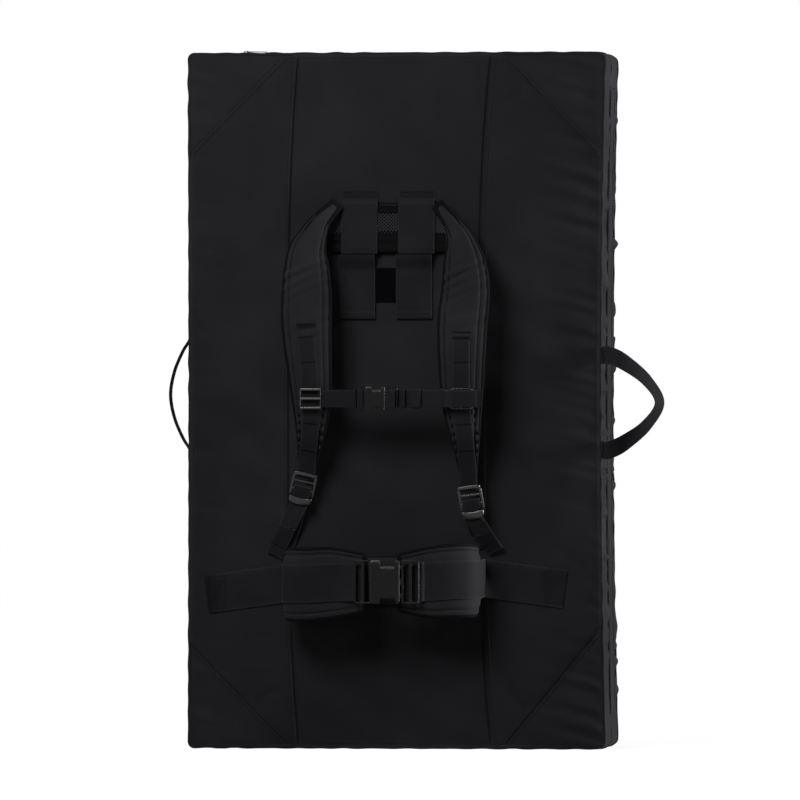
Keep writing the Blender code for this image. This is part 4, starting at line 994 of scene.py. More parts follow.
def make_foam_layers(prefix, side, body):
    """The three sheets of foam, with their cut edges slightly rounded; the base foam takes up the crown."""
    for suffix, finish in foam_layers:
        node = f"{prefix}_{suffix}"
        low, high = corners_of(node)
        u, v = np.meshgrid(crowded(25), crowded(25))
        edge = np.sqrt(np.clip(1 - np.maximum(np.abs(u), np.abs(v)) ** foam_edge_power, foam_edge_share, 1))
        z = (low[2] + high[2]) / 2 + v * ((high[2] - low[2]) / 2 - foam_pressed_in)
        left = np.maximum(low[0], edge_left(z)) + foam_pressed_in
        right = np.minimum(high[0], edge_right(z)) - foam_pressed_in
        x = (left + right) / 2 + u * (right - left) / 2
        middle = (low[1] + high[1]) / 2
        half = (high[1] - low[1]) / 2 * edge
        front, back = middle - half, middle + half
        if suffix == "base_foam":
            most = high[1] - low[1]
            crown = np.maximum(pillow(x, z) - cover_over_foam, 0) / (most - foam_sheet_thickness)
            outer = foam_sheet_thickness + (most - foam_sheet_thickness) * np.clip(crown, 0, 1)
            back = high[1] if side < 0 else low[1]
            front = back + side * outer * edge
        layer = slab(stacked(x, front, z), stacked(x, back, z), stacked(x, z))
        sheet = add_piece(node + "_cut", layer, finish, body, node)


patch_corners = (
    (False, True, "top_left"), (True, True, "top_right"), (False, False, "bottom_left"),
    (True, False, "bottom_right"),
)
patch_reach_x = 0.148
patch_reach_z = 0.150
patch_reach_low_right_z = 0.174
patch_margin = 0.0012
patch_thickness = 0.0006
patch_lift = 0.0001
patch_steps = 45
patch_tip_share = 0.03
patch_hem_shares = (0.955, 0.99, 0.012)
patch_hem_rise_share = 0.3
patch_worn_shares = (0.96, 1.0)
patch_wear_share = 0.8
patch_seam_shares = (0.009, 0.022, 0.060)
patch_thread_rise_share = 1.5


def patch_place(right, top, along, across, reach_z):
    """Places on a corner of the face: along its long edge, and from the corner out to that edge."""
    run_x = patch_margin + (patch_reach_x - patch_margin) * across * (1 - along)
    run_z = patch_margin + (reach_z - patch_margin) * across * along
    z = rim_high_z - run_z if top else rim_low_z + run_z
    x = edge_right(z) - run_x if right else edge_left(z) + run_x
    return x, z


def make_corner_patches(prefix, side, body):
    """The doubled corners: cloth with its long edge turned under and sewn down in rows."""
    for right, top, suffix in patch_corners:
        reach_z = patch_reach_low_right_z if right and not top else patch_reach_z
        share = np.linspace(0, 1, patch_steps)
        u, v = np.meshgrid(share, patch_tip_share + (1 - patch_tip_share) * share)
        x, z = patch_place(right, top, u, v, reach_z)
        low, high, edge = patch_hem_shares
        roll = patch_thickness * (1 + patch_hem_rise_share * soft_box(v, low, high, edge))
        base = face_depth(x, z) + patch_lift
        front = stacked(x, depth_y(side, base + roll), z)
        back = stacked(x, depth_y(side, base), z)
        wear = patch_wear_share * smooth_step(*patch_worn_shares, v)
        node = f"corner_patch_{suffix}"
        name = f"{prefix}_{node}_sewn"
        cloth = slab(front, back, stacked(x, z), wear)
        patch = add_piece(name, cloth, "patch_nylon", body, node if side < 0 else None)
        rows = []
        for back_off in patch_seam_shares:
            along = np.linspace(patch_tip_share, 1 - patch_tip_share, 120)
            x, z = patch_place(right, top, along, 1 - back_off, reach_z)
            depth = face_depth(x, z) + patch_lift + patch_thickness * patch_thread_rise_share
            rows.append(seam(stacked(x, depth_y(side, depth), z), (0, side, 0)))
        add_stitches(f"{prefix}_{node}_stitches", rows, body)


zip_tape_inner = 0.0004
zip_tape_width = 0.013
zip_tape_thickness = 0.0007
# How far the tapes and the coil lie under the top of the frame's own tape
zip_tape_drop = 0.0024
coil_drop = 0.0018
coil_margin = 0.002
coil_pitch = 0.0013
coil_half_width = 0.0019
coil_half_height = 0.00072
coil_thread = 0.0007
coil_corners = 8


def make_zip(prefix, side, body, pull_body):
    """A coil zip under the slit: two woven tapes, the coil's turns, and a slider with its puller."""
    low, high = corners_of(prefix + "_zip_tape")
    middle = depth_y(side, half_thickness / 2)
    top = high[2] - zip_tape_drop
    tapes = []
    for way in (-1, 1):
        u, x = np.meshgrid(np.linspace(zip_tape_inner, zip_tape_width, 12), np.linspace(low[0], high[0], 120))
        y = middle + way * u
        tapes.append(slab(stacked(x, y, top), stacked(x, y, top - zip_tape_thickness), stacked(u, x)))
    add_piece(prefix + "_zip_tapes", joined(tapes), "binding_tape", body, prefix + "_zip_tape")
    turns = int((high[0] - low[0] - 2 * coil_margin) / coil_pitch)
    angle = np.arange(turns * coil_corners) * 2 * math.pi / coil_corners
    x = low[0] + coil_margin + angle / (2 * math.pi) * coil_pitch
    y = middle + coil_half_width * np.cos(angle)
    line = stacked(x, y, high[2] - coil_drop + coil_half_height * np.sin(angle))
    coil = carried_profile(line, (1, 0, 0), oval(coil_thread, coil_thread, 6, 1.0))
    add_piece(prefix + "_zip_coil", coil, "sewing_thread", body)
    make_zip_slider(prefix + "_zip_slider", middle, pull_body)


zip_slider_length = 0.013
slider_half_width = 0.0042
slider_waist_share = 0.28
slider_turn_share = 0.08
# Heights over the bottom of the frame's own slider
slider_base = 0.0012
slider_top = 0.0021
slider_dome = 0.0008
bridge_base = 0.0022
bridge_rise = 0.0022
bridge_reach = 0.0038
bridge_steps = 15
bridge_section = (0.0026, 0.0011, 10, 0.6)
puller_start = (0.0010, 0.0034)
puller_end = (0.030, 0.0030)
puller_width = 0.0040
puller_swell = 0.0030
puller_swell_shares = (0.1, 0.35)
puller_end_shares = (0.85, 1.0)
puller_narrowing = 0.0022
puller_thickness = 0.0011
puller_steps = 24


def make_zip_slider(node, middle, body):
    """The cast body, waisted along its length, its bridge, and a flat puller."""
    low = corners_of(node)[0]
    t, s = np.meshgrid(np.linspace(0, 1, 25), np.linspace(-1, 1, 17), indexing="ij")
    swing = np.cos(2 * math.pi * (t - slider_turn_share))
    half = slider_half_width * (1 - slider_waist_share + slider_waist_share * swing)
    x = low[0] + t * zip_slider_length
    y = middle + s * half
    top = low[2] + slider_top + slider_dome * (1 - s**2) * np.sin(math.pi * t)
    cast = slab(stacked(x, y, top), stacked(x, y, low[2] + slider_base), stacked(t, s))
    arch = np.linspace(0, math.pi, bridge_steps)
    centre_x = low[0] + zip_slider_length / 2
    bow = low[2] + bridge_base + bridge_rise * np.sin(arch)
    route = stacked(centre_x - bridge_reach * np.cos(arch), middle, bow)
    bridge = carried_profile(route, (0, 1, 0), oval(*bridge_section))
    ends = [(centre_x + out, middle, low[2] + rise) for out, rise in (puller_start, puller_end)]
    share = np.linspace(0, 1, puller_steps)
    width = puller_width + puller_swell * smooth_step(*puller_swell_shares, share)
    width = width - puller_narrowing * smooth_step(*puller_end_shares, share)
    puller = flat_strap(np.linspace(*ends, puller_steps), (0, 1, 0), width, puller_thickness)
    add_piece(node + "_cast", joined([cast, bridge, puller]), "blackened_zinc", body, node, sharp=35)


def make_half(prefix, side, body, pull_body):
    make_carry_panel(prefix, side, body)
    make_side_band(prefix, side, body)
    make_landing_panel(prefix, side, body)
    make_foam_layers(prefix, side, body)
    make_corner_patches(prefix, side, body)
    make_zip(prefix, side, body, pull_body)


# What joins the halves

hinge_strip_thickness = 0.0012
hinge_swell = 0.0003
hinge_waves = (0.03, 0.08)
hinge_seam_shares = ((0.06, 0.115, "root", "near"), (0.94, 0.885, "far_half", "far"))
hinge_seam_end = 0.004
thread_gap = 0.0002


def make_hinge_strip():
    """The strip that both halves hang from, made flat along the pad's right side where it folds."""
    low, high = corners_of("hinge_strip")
    y, z = np.meshgrid(np.linspace(low[1], high[1], 49), np.linspace(low[2], high[2], 200))
    swell = hinge_swell * wander(z + 0.3 * y, 81, *hinge_waves)
    inner = edge_right(z) + side_flat + fit_gap
    front = stacked(inner + hinge_strip_thickness + swell, y, z)
    cloth = slab(front, stacked(inner, y, z), stacked(y, z))
    strip = add_piece("fold_strip", cloth, "band_nylon", None, "hinge_strip")
    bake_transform(strip)
    for *places, body, suffix in hinge_seam_shares:
        rows = []
        for share in places:
            heights = np.linspace(low[2] + hinge_seam_end, high[2] - hinge_seam_end, 250)
            x = edge_right(heights) + side_flat + fit_gap + hinge_strip_thickness + thread_gap
            rows.append(seam(stacked(x, low[1] + share * (high[1] - low[1]), heights), (1, 0, 0)))
        add_stitches(f"fold_strip_stitches_{suffix}", rows, body)


def side_surface(y, z, lift):
    """Places that stand lift out from the flat of the left gusset."""
    return stacked(-half_width + draw_left * bell(z) - side_flat - fit_gap - lift, y, z)


closure_thickness = 0.0014
closure_hook_thickness = 0.0014
closure_loop_thickness = 0.0012
closure_rise = closure_hook_thickness + closure_loop_thickness + 2 * fit_gap
closure_bend = 0.004
closure_lip = 0.0012
closure_lip_width = 0.012
closure_ripple = 0.0003
closure_waves = (0.02, 0.06)
closure_ripple_start = 0.01
closure_hem = 0.0005
closure_hem_shares = (0.40, 0.46)
closure_hem_wear_share = 0.4
closure_seam_inset = 0.005
closure_thread_lift = 0.0008
pile_depth = 0.00012
pile_turns = 2600


def make_closure(suffix, flap_body):
    """A closure flap: turned hem, stitches, its hook strip inside, and the loop strip on the far half."""
    low, high = corners_of("closure_flap_" + suffix)
    bend_end = corners_of("closure_loop_" + suffix)[0][1] - closure_bend
    y, z = np.meshgrid(np.linspace(low[1], high[1], 40), np.linspace(low[2], high[2], 60))
    rise = closure_rise * smooth_step(low[1], bend_end, y)
    rise = rise + closure_lip * smooth_step(high[1] - closure_lip_width, high[1], y) ** 2
    loose = smooth_step(low[1] + closure_ripple_start, high[1], y)
    ripple = closure_ripple * wander(z, 91, *closure_waves) * loose
    off_y = np.abs((y - low[1]) / (high[1] - low[1]) - 0.5)
    off_z = np.abs((z - low[2]) / (high[2] - low[2]) - 0.5)
    hemmed = smooth_step(*closure_hem_shares, np.maximum(off_y, off_z))
    outer = side_surface(y, z, rise + closure_thickness + np.maximum(ripple, 0) + closure_hem * hemmed)
    cloth = slab(outer, side_surface(y, z, rise), stacked(y, z), closure_hem_wear_share * hemmed)
    flap = add_piece(f"closure_{suffix}_flap", cloth, "pad_nylon", flap_body, "closure_flap_" + suffix)
    low_y, low_z = low[1:] + closure_seam_inset
    high_y, high_z = high[1:] - closure_seam_inset
    corners = ((low_y, low_z), (high_y, low_z), (high_y, high_z), (low_y, high_z))
    rows = []
    for (y0, z0), (y1, z1) in zip(corners, corners[1:] + corners[:1]):
        ys, zs = np.linspace(y0, y1, 60), np.linspace(z0, z1, 60)
        rise = closure_rise * smooth_step(low[1], bend_end, ys)
        rows.append(seam(side_surface(ys, zs, rise + closure_thickness + closure_thread_lift), (-1, 0, 0)))
    add_stitches(f"closure_{suffix}_stitches", rows, flap_body)
    for node, lift, depth, body, name in (
        ("closure_hook_", closure_loop_thickness + fit_gap, closure_hook_thickness, flap_body, "hooks"),
        ("closure_loop_", 0, closure_loop_thickness, "far_half", "pile"),
    ):
        low, high = corners_of(node + suffix)
        y, z = np.meshgrid(np.linspace(low[1], high[1], 50), np.linspace(low[2], high[2], 120))
        fuzz = pile_depth * (np.sin(y * pile_turns) * np.sin(z * pile_turns) - 1)
        strip = slab(side_surface(y, z, lift + depth + fuzz), side_surface(y, z, lift), stacked(y, z))
        add_piece(f"closure_{suffix}_{name}", strip, "hook_and_loop", body, node + suffix)


# Side handles

handle_steps = 140
handle_tack_length = 0.019
handle_tack_width = 0.0024
left_handle_z = 0.5085
left_handle_spread = 0.162
left_handle_bow = 0.030
left_tack_shares = (1.04, 1.18)
left_tack_lift = 0.0001
# Each row: away from the gusset, along it
left_handle_shares = (
    (0.0, 1.24), (0.0, 1.12), (0.06, 0.98), (0.42, 0.76), (0.82, 0.40), (1.0, 0.0),
    (0.82, -0.40), (0.42, -0.76), (0.06, -0.98), (0.0, -1.12), (0.0, -1.24),
)
right_handle_x = half_width - draw_right + 0.0006
right_handle_z = 0.497
right_handle_spread = 0.135
right_handle_bow = 0.087
right_handle_stand = 0.023
right_handle_lift = 0.0004
right_handle_twist = math.radians(63)
right_tack_steps = (6, handle_steps - 7)
# Each row: out from the seam, forward, along the seam
right_handle_shares = (
    (0.0, 0.0, 1.0), (0.16, 0.22, 1.0), (0.42, 0.70, 0.84), (0.78, 0.95, 0.48), (1.0, 1.0, 0.0),
    (0.78, 0.95, -0.48), (0.42, 0.70, -0.84), (0.16, 0.22, -1.0), (0.0, 0.0, -1.0),
)


def make_left_handle():
    """Webbing sewn flat on the gusset at both ends, bowed out between."""
    root = -half_width + draw_left * bell(left_handle_z) - side_flat - fit_gap - handle_webbing_thickness / 2
    reach = left_handle_spread / 2
    rows = [
        (root - out * left_handle_bow, 0, left_handle_z + along * reach) for out, along in left_handle_shares
    ]
    strap = flat_strap(smooth_path(rows, handle_steps), (0, 1, 0), narrow_webbing, handle_webbing_thickness)
    add_piece("left_handle_webbing", strap, "webbing_weave", "root", "left_handle")
    face_x = root - handle_webbing_thickness / 2 - left_tack_lift
    tacks = []
    for end in (-1, 1):
        for along in left_tack_shares:
            centre = np.array((face_x, 0, left_handle_z + end * along * reach))
            size = (handle_tack_length, handle_tack_width)
            tacks.append(bar_tack(centre, (0, 1, 0), (0, 0, 1), (-1, 0, 0), *size))
    add_stitches("left_handle_tacks", tacks, "root")


def make_right_handle():
    """Webbing caught in the seam: it leaves flat to the carry face and turns its edge by its far end."""
    stand = handle_webbing_thickness / 2 + right_handle_lift
    root_y = float(on_face(right_handle_x, right_handle_z, stand)[1])
    shares = np.array(right_handle_shares)
    sizes = np.array((right_handle_bow, -right_handle_stand, right_handle_spread / 2))
    path = smooth_path(np.array((right_handle_x, root_y, right_handle_z)) + shares * sizes, handle_steps)
    flat = unit(np.cross(tangents(path), (0, 1, 0)))
    twist = right_handle_twist * np.sin(math.pi * np.linspace(0, 1, handle_steps)) ** 2
    across = flat * np.cos(twist)[:, None] + np.array((0, 1, 0)) * np.sin(twist)[:, None]
    strap = flat_strap(path, across, narrow_webbing, handle_webbing_thickness)
    add_piece("right_handle_webbing", strap, "webbing_weave", "right_grip", "right_handle")
    tacks = []
    for k in right_tack_steps:
        along = tangents(path)[k]
        away = unit(np.cross(along, across[k]))
        away = away if away[1] < 0 else -away
        centre = path[k] + away * handle_webbing_thickness / 2
        tacks.append(bar_tack(centre, across[k], along, away, handle_tack_length, handle_tack_width))
    add_stitches("right_handle_tacks", tacks, "right_grip")


# What is sewn to the carry face

layer_edge_radius = 0.0010
layer_edge_share = 0.02
loop_corner_power = 2 / 9
loop_steps = 240
loop_spacing = 0.0025
face_out = (0.0, -1.0, 0.0)


def laid_cloth(low_x, high_x, rows, lift, thickness, columns=33):
    """A layer lying on the carry face: lift and thickness may follow the rows; its sides are rounded."""
    middle, half = (low_x + high_x) / 2, (high_x - low_x) / 2
    u, z = np.meshgrid(crowded(columns), rows)
    x = middle + u * half
    lift = np.asarray(lift, float).reshape(-1, 1)
    thickness = np.asarray(thickness, float).reshape(-1, 1)
    drop = np.clip(1 - half * (1 - np.abs(u)) / layer_edge_radius, 0, 1)
    round_off = thickness / 2 * (1 - np.sqrt(np.clip(1 - drop**2, layer_edge_share, 1)))
    outside = on_face(x, z, lift + thickness - round_off)
    return slab(outside, on_face(x, z, lift + round_off), stacked(x - middle, z), smooth_step(0, 1, drop))


def face_seam(x0, z0, x1, z1, lift):
    """A straight row of stitches on the carry face."""
    return seam(on_face(np.linspace(x0, x1, 60), np.linspace(z0, z1, 60), lift), face_out)


def box_stitch(low_x, high_x, low_z, high_z, lift):
    """A rectangle of stitches with a cross in it."""
    corners = ((low_x, low_z), (high_x, low_z), (high_x, high_z), (low_x, high_z))
    lines = [(*a, *b) for a, b in zip(corners, corners[1:] + corners[:1])]
    lines += [(low_x, low_z, high_x, high_z), (low_x, high_z, high_x, low_z)]
    return [face_seam(*line, lift) for line in lines]


def face_loop(low, high, lift):
    """A rounded rectangle on the carry face as a closed line."""
    angle = np.linspace(0, 2 * math.pi, loop_steps, endpoint=False)
    c, s = np.cos(angle), np.sin(angle)
    x = (low[0] + high[0]) / 2 + (high[0] - low[0]) / 2 * np.sign(c) * np.abs(c) ** loop_corner_power
    z = (low[2] + high[2]) / 2 + (high[2] - low[2]) / 2 * np.sign(s) * np.abs(s) ** loop_corner_power
    even = resample(stacked(x, z, 0)[np.r_[0:loop_steps, 0]], loop_spacing)[:-1]
    return on_face(even[:, 0], even[:, 1], lift)


pad_inset_shares = (0.995, 0.99)


def bound_cushion(names, node, finish, edge, crown, powers, binding_size, **slot):
    """A pad sewn flat on the carry face, domed as (1 - u**a) * (1 - v**b), and bound all round."""
    low, high = corners_of(node)
    u, v = np.meshgrid(crowded(61), crowded(61))
    x = (low[0] + high[0]) / 2 + u * (high[0] - low[0]) / 2 * pad_inset_shares[0]
    z = (low[2] + high[2]) / 2 + v * (high[2] - low[2]) / 2 * pad_inset_shares[1]
    puff = edge + crown * (1 - np.abs(u) ** powers[0]) * (1 - np.abs(v) ** powers[1])
    pad = slab(on_face(x, z, puff), on_face(x, z, 0), stacked(x, z))
    cushion = add_piece(names[0], pad, finish, "root", node, **slot)
    lift, width, thickness = binding_size
    loop = face_loop(low, high, lift)
    binding = bound_edge(loop, np.broadcast_to(face_out, loop.shape), width, thickness)
    add_piece(names[1], binding, "binding_tape", "root")
    return low, high


yoke_thickness = 0.008
yoke_edge = 0.0030
yoke_crown = yoke_thickness - 0.0031
yoke_binding = (0.0021, 0.0080, 0.0040)
yoke_mesh_thickness = 0.0018
over_yoke = yoke_thickness + yoke_mesh_thickness + 2 * fit_gap
# Low and high edge of each band across the yoke
yoke_bands = ((0.7285, 0.7395), (0.7135, 0.7275), (0.7690, 0.7790))
yoke_band_thickness = 0.0011
yoke_band_sink = 0.0003
yoke_band_inset = 0.004
yoke_seam_inset = 0.006
yoke_seam_margin = 0.0015


def make_yoke():
    """The padded yoke: bound all round, with spacer mesh and three folded bands across it."""
    low, high = bound_cushion(
        ("yoke_cushion", "yoke_binding"), "yoke_pad", "spacer_mesh", yoke_edge, yoke_crown, (8, 6),
        yoke_binding, slot="strap_cloth",
    )
    mesh_low, mesh_high = corners_of("yoke_mesh")
    rows = np.linspace(mesh_low[2], mesh_high[2], 25)
    mesh = laid_cloth(mesh_low[0], mesh_high[0], rows, yoke_thickness + fit_gap, yoke_mesh_thickness)
    panel = add_piece("yoke_mesh_panel", mesh, "spacer_mesh", "root", "yoke_mesh")
    bands, stitches = [], []
    for band_low, band_high in yoke_bands:
        rows = np.linspace(band_low, band_high, 15)
        ends = (low[0] + yoke_band_inset, high[0] - yoke_band_inset)
        bands.append(laid_cloth(*ends, rows, yoke_thickness - yoke_band_sink, yoke_band_thickness))
        for z in (band_low + yoke_seam_margin, band_high - yoke_seam_margin):
            ends = (low[0] + yoke_seam_inset, z, high[0] - yoke_seam_inset, z)
            stitches.append(face_seam(*ends, yoke_thickness + yoke_band_thickness))
    add_piece("yoke_bands", joined(bands), "binding_tape", "root")
    add_stitches("yoke_stitches", stitches, "root")


height_seam_z = 0.7105
height_seam_steps = (0.0020, 0.0050)
height_seam_inset = 0.001
height_drop_z = (0.7805, 0.7900)
height_fine_z = 0.780
height_box_inset = 0.003
height_box_drops = (0.0085, 0.0015)
height_hem = 0.0085
height_hem_rise = 0.0009
height_hem_bend = 0.0012
height_hem_seams = (0.0020, 0.0070)
height_top_seam = 0.0022
flap_drop_z = (0.6850, 0.7085)
loop_patch_thickness = 0.0014


def make_height_straps():
    """Wide webbing over the yoke, sewn above it and at its foot, and the two ends that stick to the patch."""
    stitches = []
    for suffix in ("left", "right"):
        low, high = corners_of("height_strap_" + suffix)
        fine = np.linspace(height_fine_z, high[2], 30)
        rows = np.unique(np.concatenate([np.linspace(low[2], high[2], 70), fine]))
        lift = over_yoke * (1 - smooth_step(*height_drop_z, rows))
        strap = laid_cloth(low[0], high[0], rows, lift, webbing_thickness)
        add_piece(f"height_webbing_{suffix}", strap, "webbing_weave", "root", "height_strap_" + suffix)
        ends = (low[0] + height_box_inset, high[0] - height_box_inset)
        stitches += box_stitch(*ends, *(high[2] - drop for drop in height_box_drops), webbing_thickness)
        for step in height_seam_steps:
            z = height_seam_z + step
            ends = (low[0] + height_seam_inset, z, high[0] - height_seam_inset, z)
            stitches.append(face_seam(*ends, over_yoke + webbing_thickness))
        make_height_flap(suffix)
    add_stitches("height_webbing_stitches", stitches, "root")
    low, high = corners_of("loop_patch")
    patch = laid_cloth(low[0], high[0], np.linspace(low[2], high[2], 60), 0, loop_patch_thickness, 80)
    add_piece("loop_patch_pile", patch, "hook_and_loop", "root", "loop_patch")


def make_height_flap(suffix):
    """The lower end of a height strap: it comes down off the yoke and ends in a folded hem."""
    low, high = corners_of("height_flap_" + suffix)
    rows = np.linspace(low[2], high[2], 90)
    rest = loop_patch_thickness + fit_gap
    lift = rest + (over_yoke - rest) * smooth_step(*flap_drop_z, rows)
    hem_top = low[2] + height_hem
    hem = height_hem_rise * (1 - smooth_step(hem_top, hem_top + height_hem_bend, rows))
    flap = laid_cloth(low[0], high[0], rows, lift, webbing_thickness + hem)
    body = "height_flap_pull_" + suffix
    add_piece(f"height_end_{suffix}", flap, "webbing_weave", body, "height_flap_" + suffix)
    lines = [(low[2] + step, rest + height_hem_rise) for step in height_hem_seams]
    lines.append((high[2] - height_top_seam, over_yoke))
    inner, outer = low[0] + height_seam_inset, high[0] - height_seam_inset
    stitches = [face_seam(inner, z, outer, z, lift + webbing_thickness) for z, lift in lines]
    add_stitches(f"height_end_stitches_{suffix}", stitches, body)


# Shoulder straps: the route in shares of these sizes

strap_spread = 0.113
strap_drop = 0.360
strap_bow = 0.072
strap_width = 0.070
strap_thickness = 0.013
strap_edge_thickness = 0.005
strap_tip_thickness = 0.006
strap_top_z = 0.765
strap_taper_share = 0.12
# Each row: out from the middle line, down from the top, away from the pad, width
left_strap_shares = (
    (0.66, -0.040, 0.40, 0.27), (0.85, 0.030, 0.56, 0.40), (0.985, 0.135, 0.78, 0.74),
    (0.995, 0.225, 0.88, 0.92), (0.990, 0.325, 0.95, 1.00), (0.985, 0.455, 1.00, 0.99),
    (0.925, 0.730, 1.00, 0.78), (0.950, 0.880, 0.86, 0.54), (1.000, 0.970, 0.70, 0.37),
)
right_strap_shares = (
    (0.66, -0.035, 0.40, 0.27), (0.84, 0.035, 0.56, 0.34), (0.96, 0.105, 0.74, 0.56),
    (1.010, 0.190, 0.85, 0.84), (1.030, 0.300, 0.93, 0.96), (0.990, 0.455, 1.00, 0.99),
    (0.990, 0.730, 1.00, 0.82), (1.025, 0.890, 0.86, 0.56), (1.050, 1.020, 0.68, 0.34),
)
strap_steps = 150
lock_path_steps = 26
quilt_share = 0.70
quilt_depth = 0.0020
quilt_width = 0.0019
padding_wave = 0.0004
padding_waves = (0.03, 0.09)
padding_slant = 0.01
padding_share = 0.985


def strap_frame(side, count=strap_steps):
    """The strap's middle line, width direction, outward direction, widths and thicknesses."""
    shares = np.array(left_strap_shares if side < 0 else right_strap_shares)
    rows = stacked(
        harness_x + side * shares[:, 0] * strap_spread,
        -half_thickness / 2 - shares[:, 2] * strap_bow,
        strap_top_z - shares[:, 1] * strap_drop,
        shares[:, 3] * strap_width,
    )
    curve = smooth_path(rows, count)
    path, width = curve[:, :3], curve[:, 3]
    along = np.linspace(0, 1, count)
    ends = np.minimum(1, np.minimum(along, 1 - along) / strap_taper_share)
    thickness = strap_tip_thickness + (strap_thickness - strap_tip_thickness) * ends
    across = unit(np.cross(tangents(path), (0, 1, 0)))
    normal = unit(np.cross(tangents(path), across))
    return path, across, normal, width, thickness


def padded_strip(path, across, normal, width, thickness, edge, quilt=quilt_share, relief=None):
    """A padded strap: thick along its middle as 1 - s**4, thin at its sides, with a sewn line near each."""
    s = crowded(61)[None, :]
    edge = np.minimum(edge, thickness)[:, None]
    half = (edge + (thickness[:, None] - edge) * (1 - s**4)) / 2
    half = half - quilt_depth * np.exp(-(((np.abs(s) - quilt) * width[:, None] / 2 / quilt_width) ** 2))
    run = lengths_along(path)[:, None]
    half = half + padding_wave * wander(run + padding_slant * s, 17, *padding_waves) * (1 - s**2)
    reach = s * width[:, None] / 2 * padding_share
    if relief is not None:
        half = half + relief(path[:, 2][:, None], run, reach)
    middle = path[:, None, :] + across[:, None, :] * reach[..., None]
    lift = normal[:, None, :] * half[..., None]
    return slab(middle + lift, middle - lift, stacked(reach, run))


end_steps = 15
end_round = 0.006
end_round_most_share = 0.25
end_corner_power = 0.35
end_bulge_power = 0.8


def strip_outline(path, across, normal, width):
    """The edge of a strap as a closed line, with rounded ends, and the direction off its face."""
    tangent = tangents(path)
    angle = np.linspace(0, math.pi, end_steps)
    places, aways = [path - across * width[:, None] / 2], [normal]
    for k, turn in ((-1, 1), (0, -1)):
        squash = min(end_round_most_share, end_round / width[k])
        u = -np.cos(angle) * turn
        side = np.sign(u) * np.abs(u) ** end_corner_power * width[k] / 2
        out = np.sin(angle) ** end_bulge_power * width[k] * squash * turn
        end = path[k] + across[k] * side[:, None] + tangent[k] * out[:, None]
        places.append(end[1:-1])
        aways.append(np.broadcast_to(normal[k], end[1:-1].shape))
        if turn == 1:
            places.append((path + across * width[:, None] / 2)[::-1])
            aways.append(normal[::-1])
    return np.concatenate(places), np.concatenate(aways)


strip_binding_width = 0.0095
binding_thread_lift = 0.0012
seam_skip = 4


def strip_seams(path, across, normal, width, thickness, edge, share, margin):
    """Stitches in a padded strap's quilting grooves, on both faces, and along its binding in front."""
    rows = []
    half = (edge + (thickness - edge) * (1 - share**4)) / 2 - quilt_depth
    lines = [(side, face, share * width / 2, half) for side in (-1, 1) for face in (-1, 1)]
    lines += [(side, 1, width / 2 - margin, edge / 2 + binding_thread_lift) for side in (-1, 1)]
    for side, face, reach, lift in lines:
        line = path + across * (side * reach)[:, None] + normal * (face * lift)[:, None]
        rows.append(seam(line[seam_skip:-seam_skip], (normal * face)[seam_skip:-seam_skip]))
    return rows


tack_heights = (0.556, 0.512, 0.468, 0.430)
tack_width = 0.0022
tack_length = 0.021
# Upper end of the webbing on the left and the right strap, and the two broad tacks by it
daisy_tops = (0.612, 0.598)
top_tack_drops = (0.002, 0.008)
top_tack_length = 0.0275
pucker_pitch = 0.0125
pucker_height = 0.0012
pucker_reach = 0.0160
pucker_width = 0.0032
pucker_top_z = (0.585, 0.610)
crease_height = 0.0009
crease_z = (0.605, 0.680, 0.030)
crease_lengths = (0.009, 0.030)
crease_slant = 0.45


def strap_relief(z, run, reach):
    """Puckers beside the tacked webbing, and slanting creases in the cloth above it."""
    beside = np.exp(-(((np.abs(reach) - pucker_reach) / pucker_width) ** 2))
    beside = beside * (1 - smooth_step(*pucker_top_z, z))
    puckers = pucker_height * np.cos(2 * math.pi * run / pucker_pitch) * beside
    creases = crease_height * wander(run + crease_slant * reach, 77, *crease_lengths) * soft_box(z, *crease_z)
    return puckers + creases * (1 - (2 * np.abs(reach) / strap_width) ** 2)


lock_width = 0.036
lock_length = 0.042
lock_thickness = 0.0040
lock_bar = 0.0045
lock_corner = 0.0075
lock_drop = 0.020
lock_tilts = (math.radians(14), math.radians(-8))
lock_bar_share = 0.9
# Each cross bar: how many pitches down from the top, and how far back
lock_bars = ((1, 0.0006), (2, -0.0004))
lock_pitch = (lock_length - lock_bar) / 3
lock_top = lock_length / 2 - lock_bar / 2
arch_steps = 44
lip_width = 0.0040
lip_swell = 0.0062
lip_thickness = 0.0026
lip_rise = 0.0010
lip_forward = 0.0088
lip_drop = 0.0040
guard_section = (0.0052, 0.0028, 18, 0.8)
guard_forward = 0.0054
guard_drop = -0.0010


def lock_place(side):
    """Matrix that puts a ladder lock, made upright at the origin, below its strap's tip."""
    path = strap_frame(side, lock_path_steps)[0]
    tangent = unit(path[-1] - path[-3])
    centre = path[-1] + tangent * (lock_drop + lock_length / 2)
    lean = math.atan2(tangent[1], -tangent[2])
    turned = Matrix.Rotation(lean, 4, "X") @ Matrix.Rotation(lock_tilts[0 if side < 0 else 1], 4, "Y")
    return Matrix.Translation(Vector(centre)) @ turned


def placed(shape, matrix):
    turn = np.array(matrix.to_3x3())
    shape["points"] = shape["points"] @ turn.T + np.array(matrix.translation)
    return shape


def rounded_frame(width, height, radius, count=14):
    """A rounded rectangle in X and Z as a closed line, anticlockwise."""
    corners = []
    for turn, (sx, sz) in enumerate(((1, 1), (-1, 1), (-1, -1), (1, -1))):
        angle = math.pi / 2 * (turn + np.linspace(0, 1, count))
        x = sx * (width / 2 - radius) + radius * np.cos(angle)
        z = sz * (height / 2 - radius) + radius * np.sin(angle)
        corners.append(stacked(x, 0, z))
    return np.concatenate(corners)


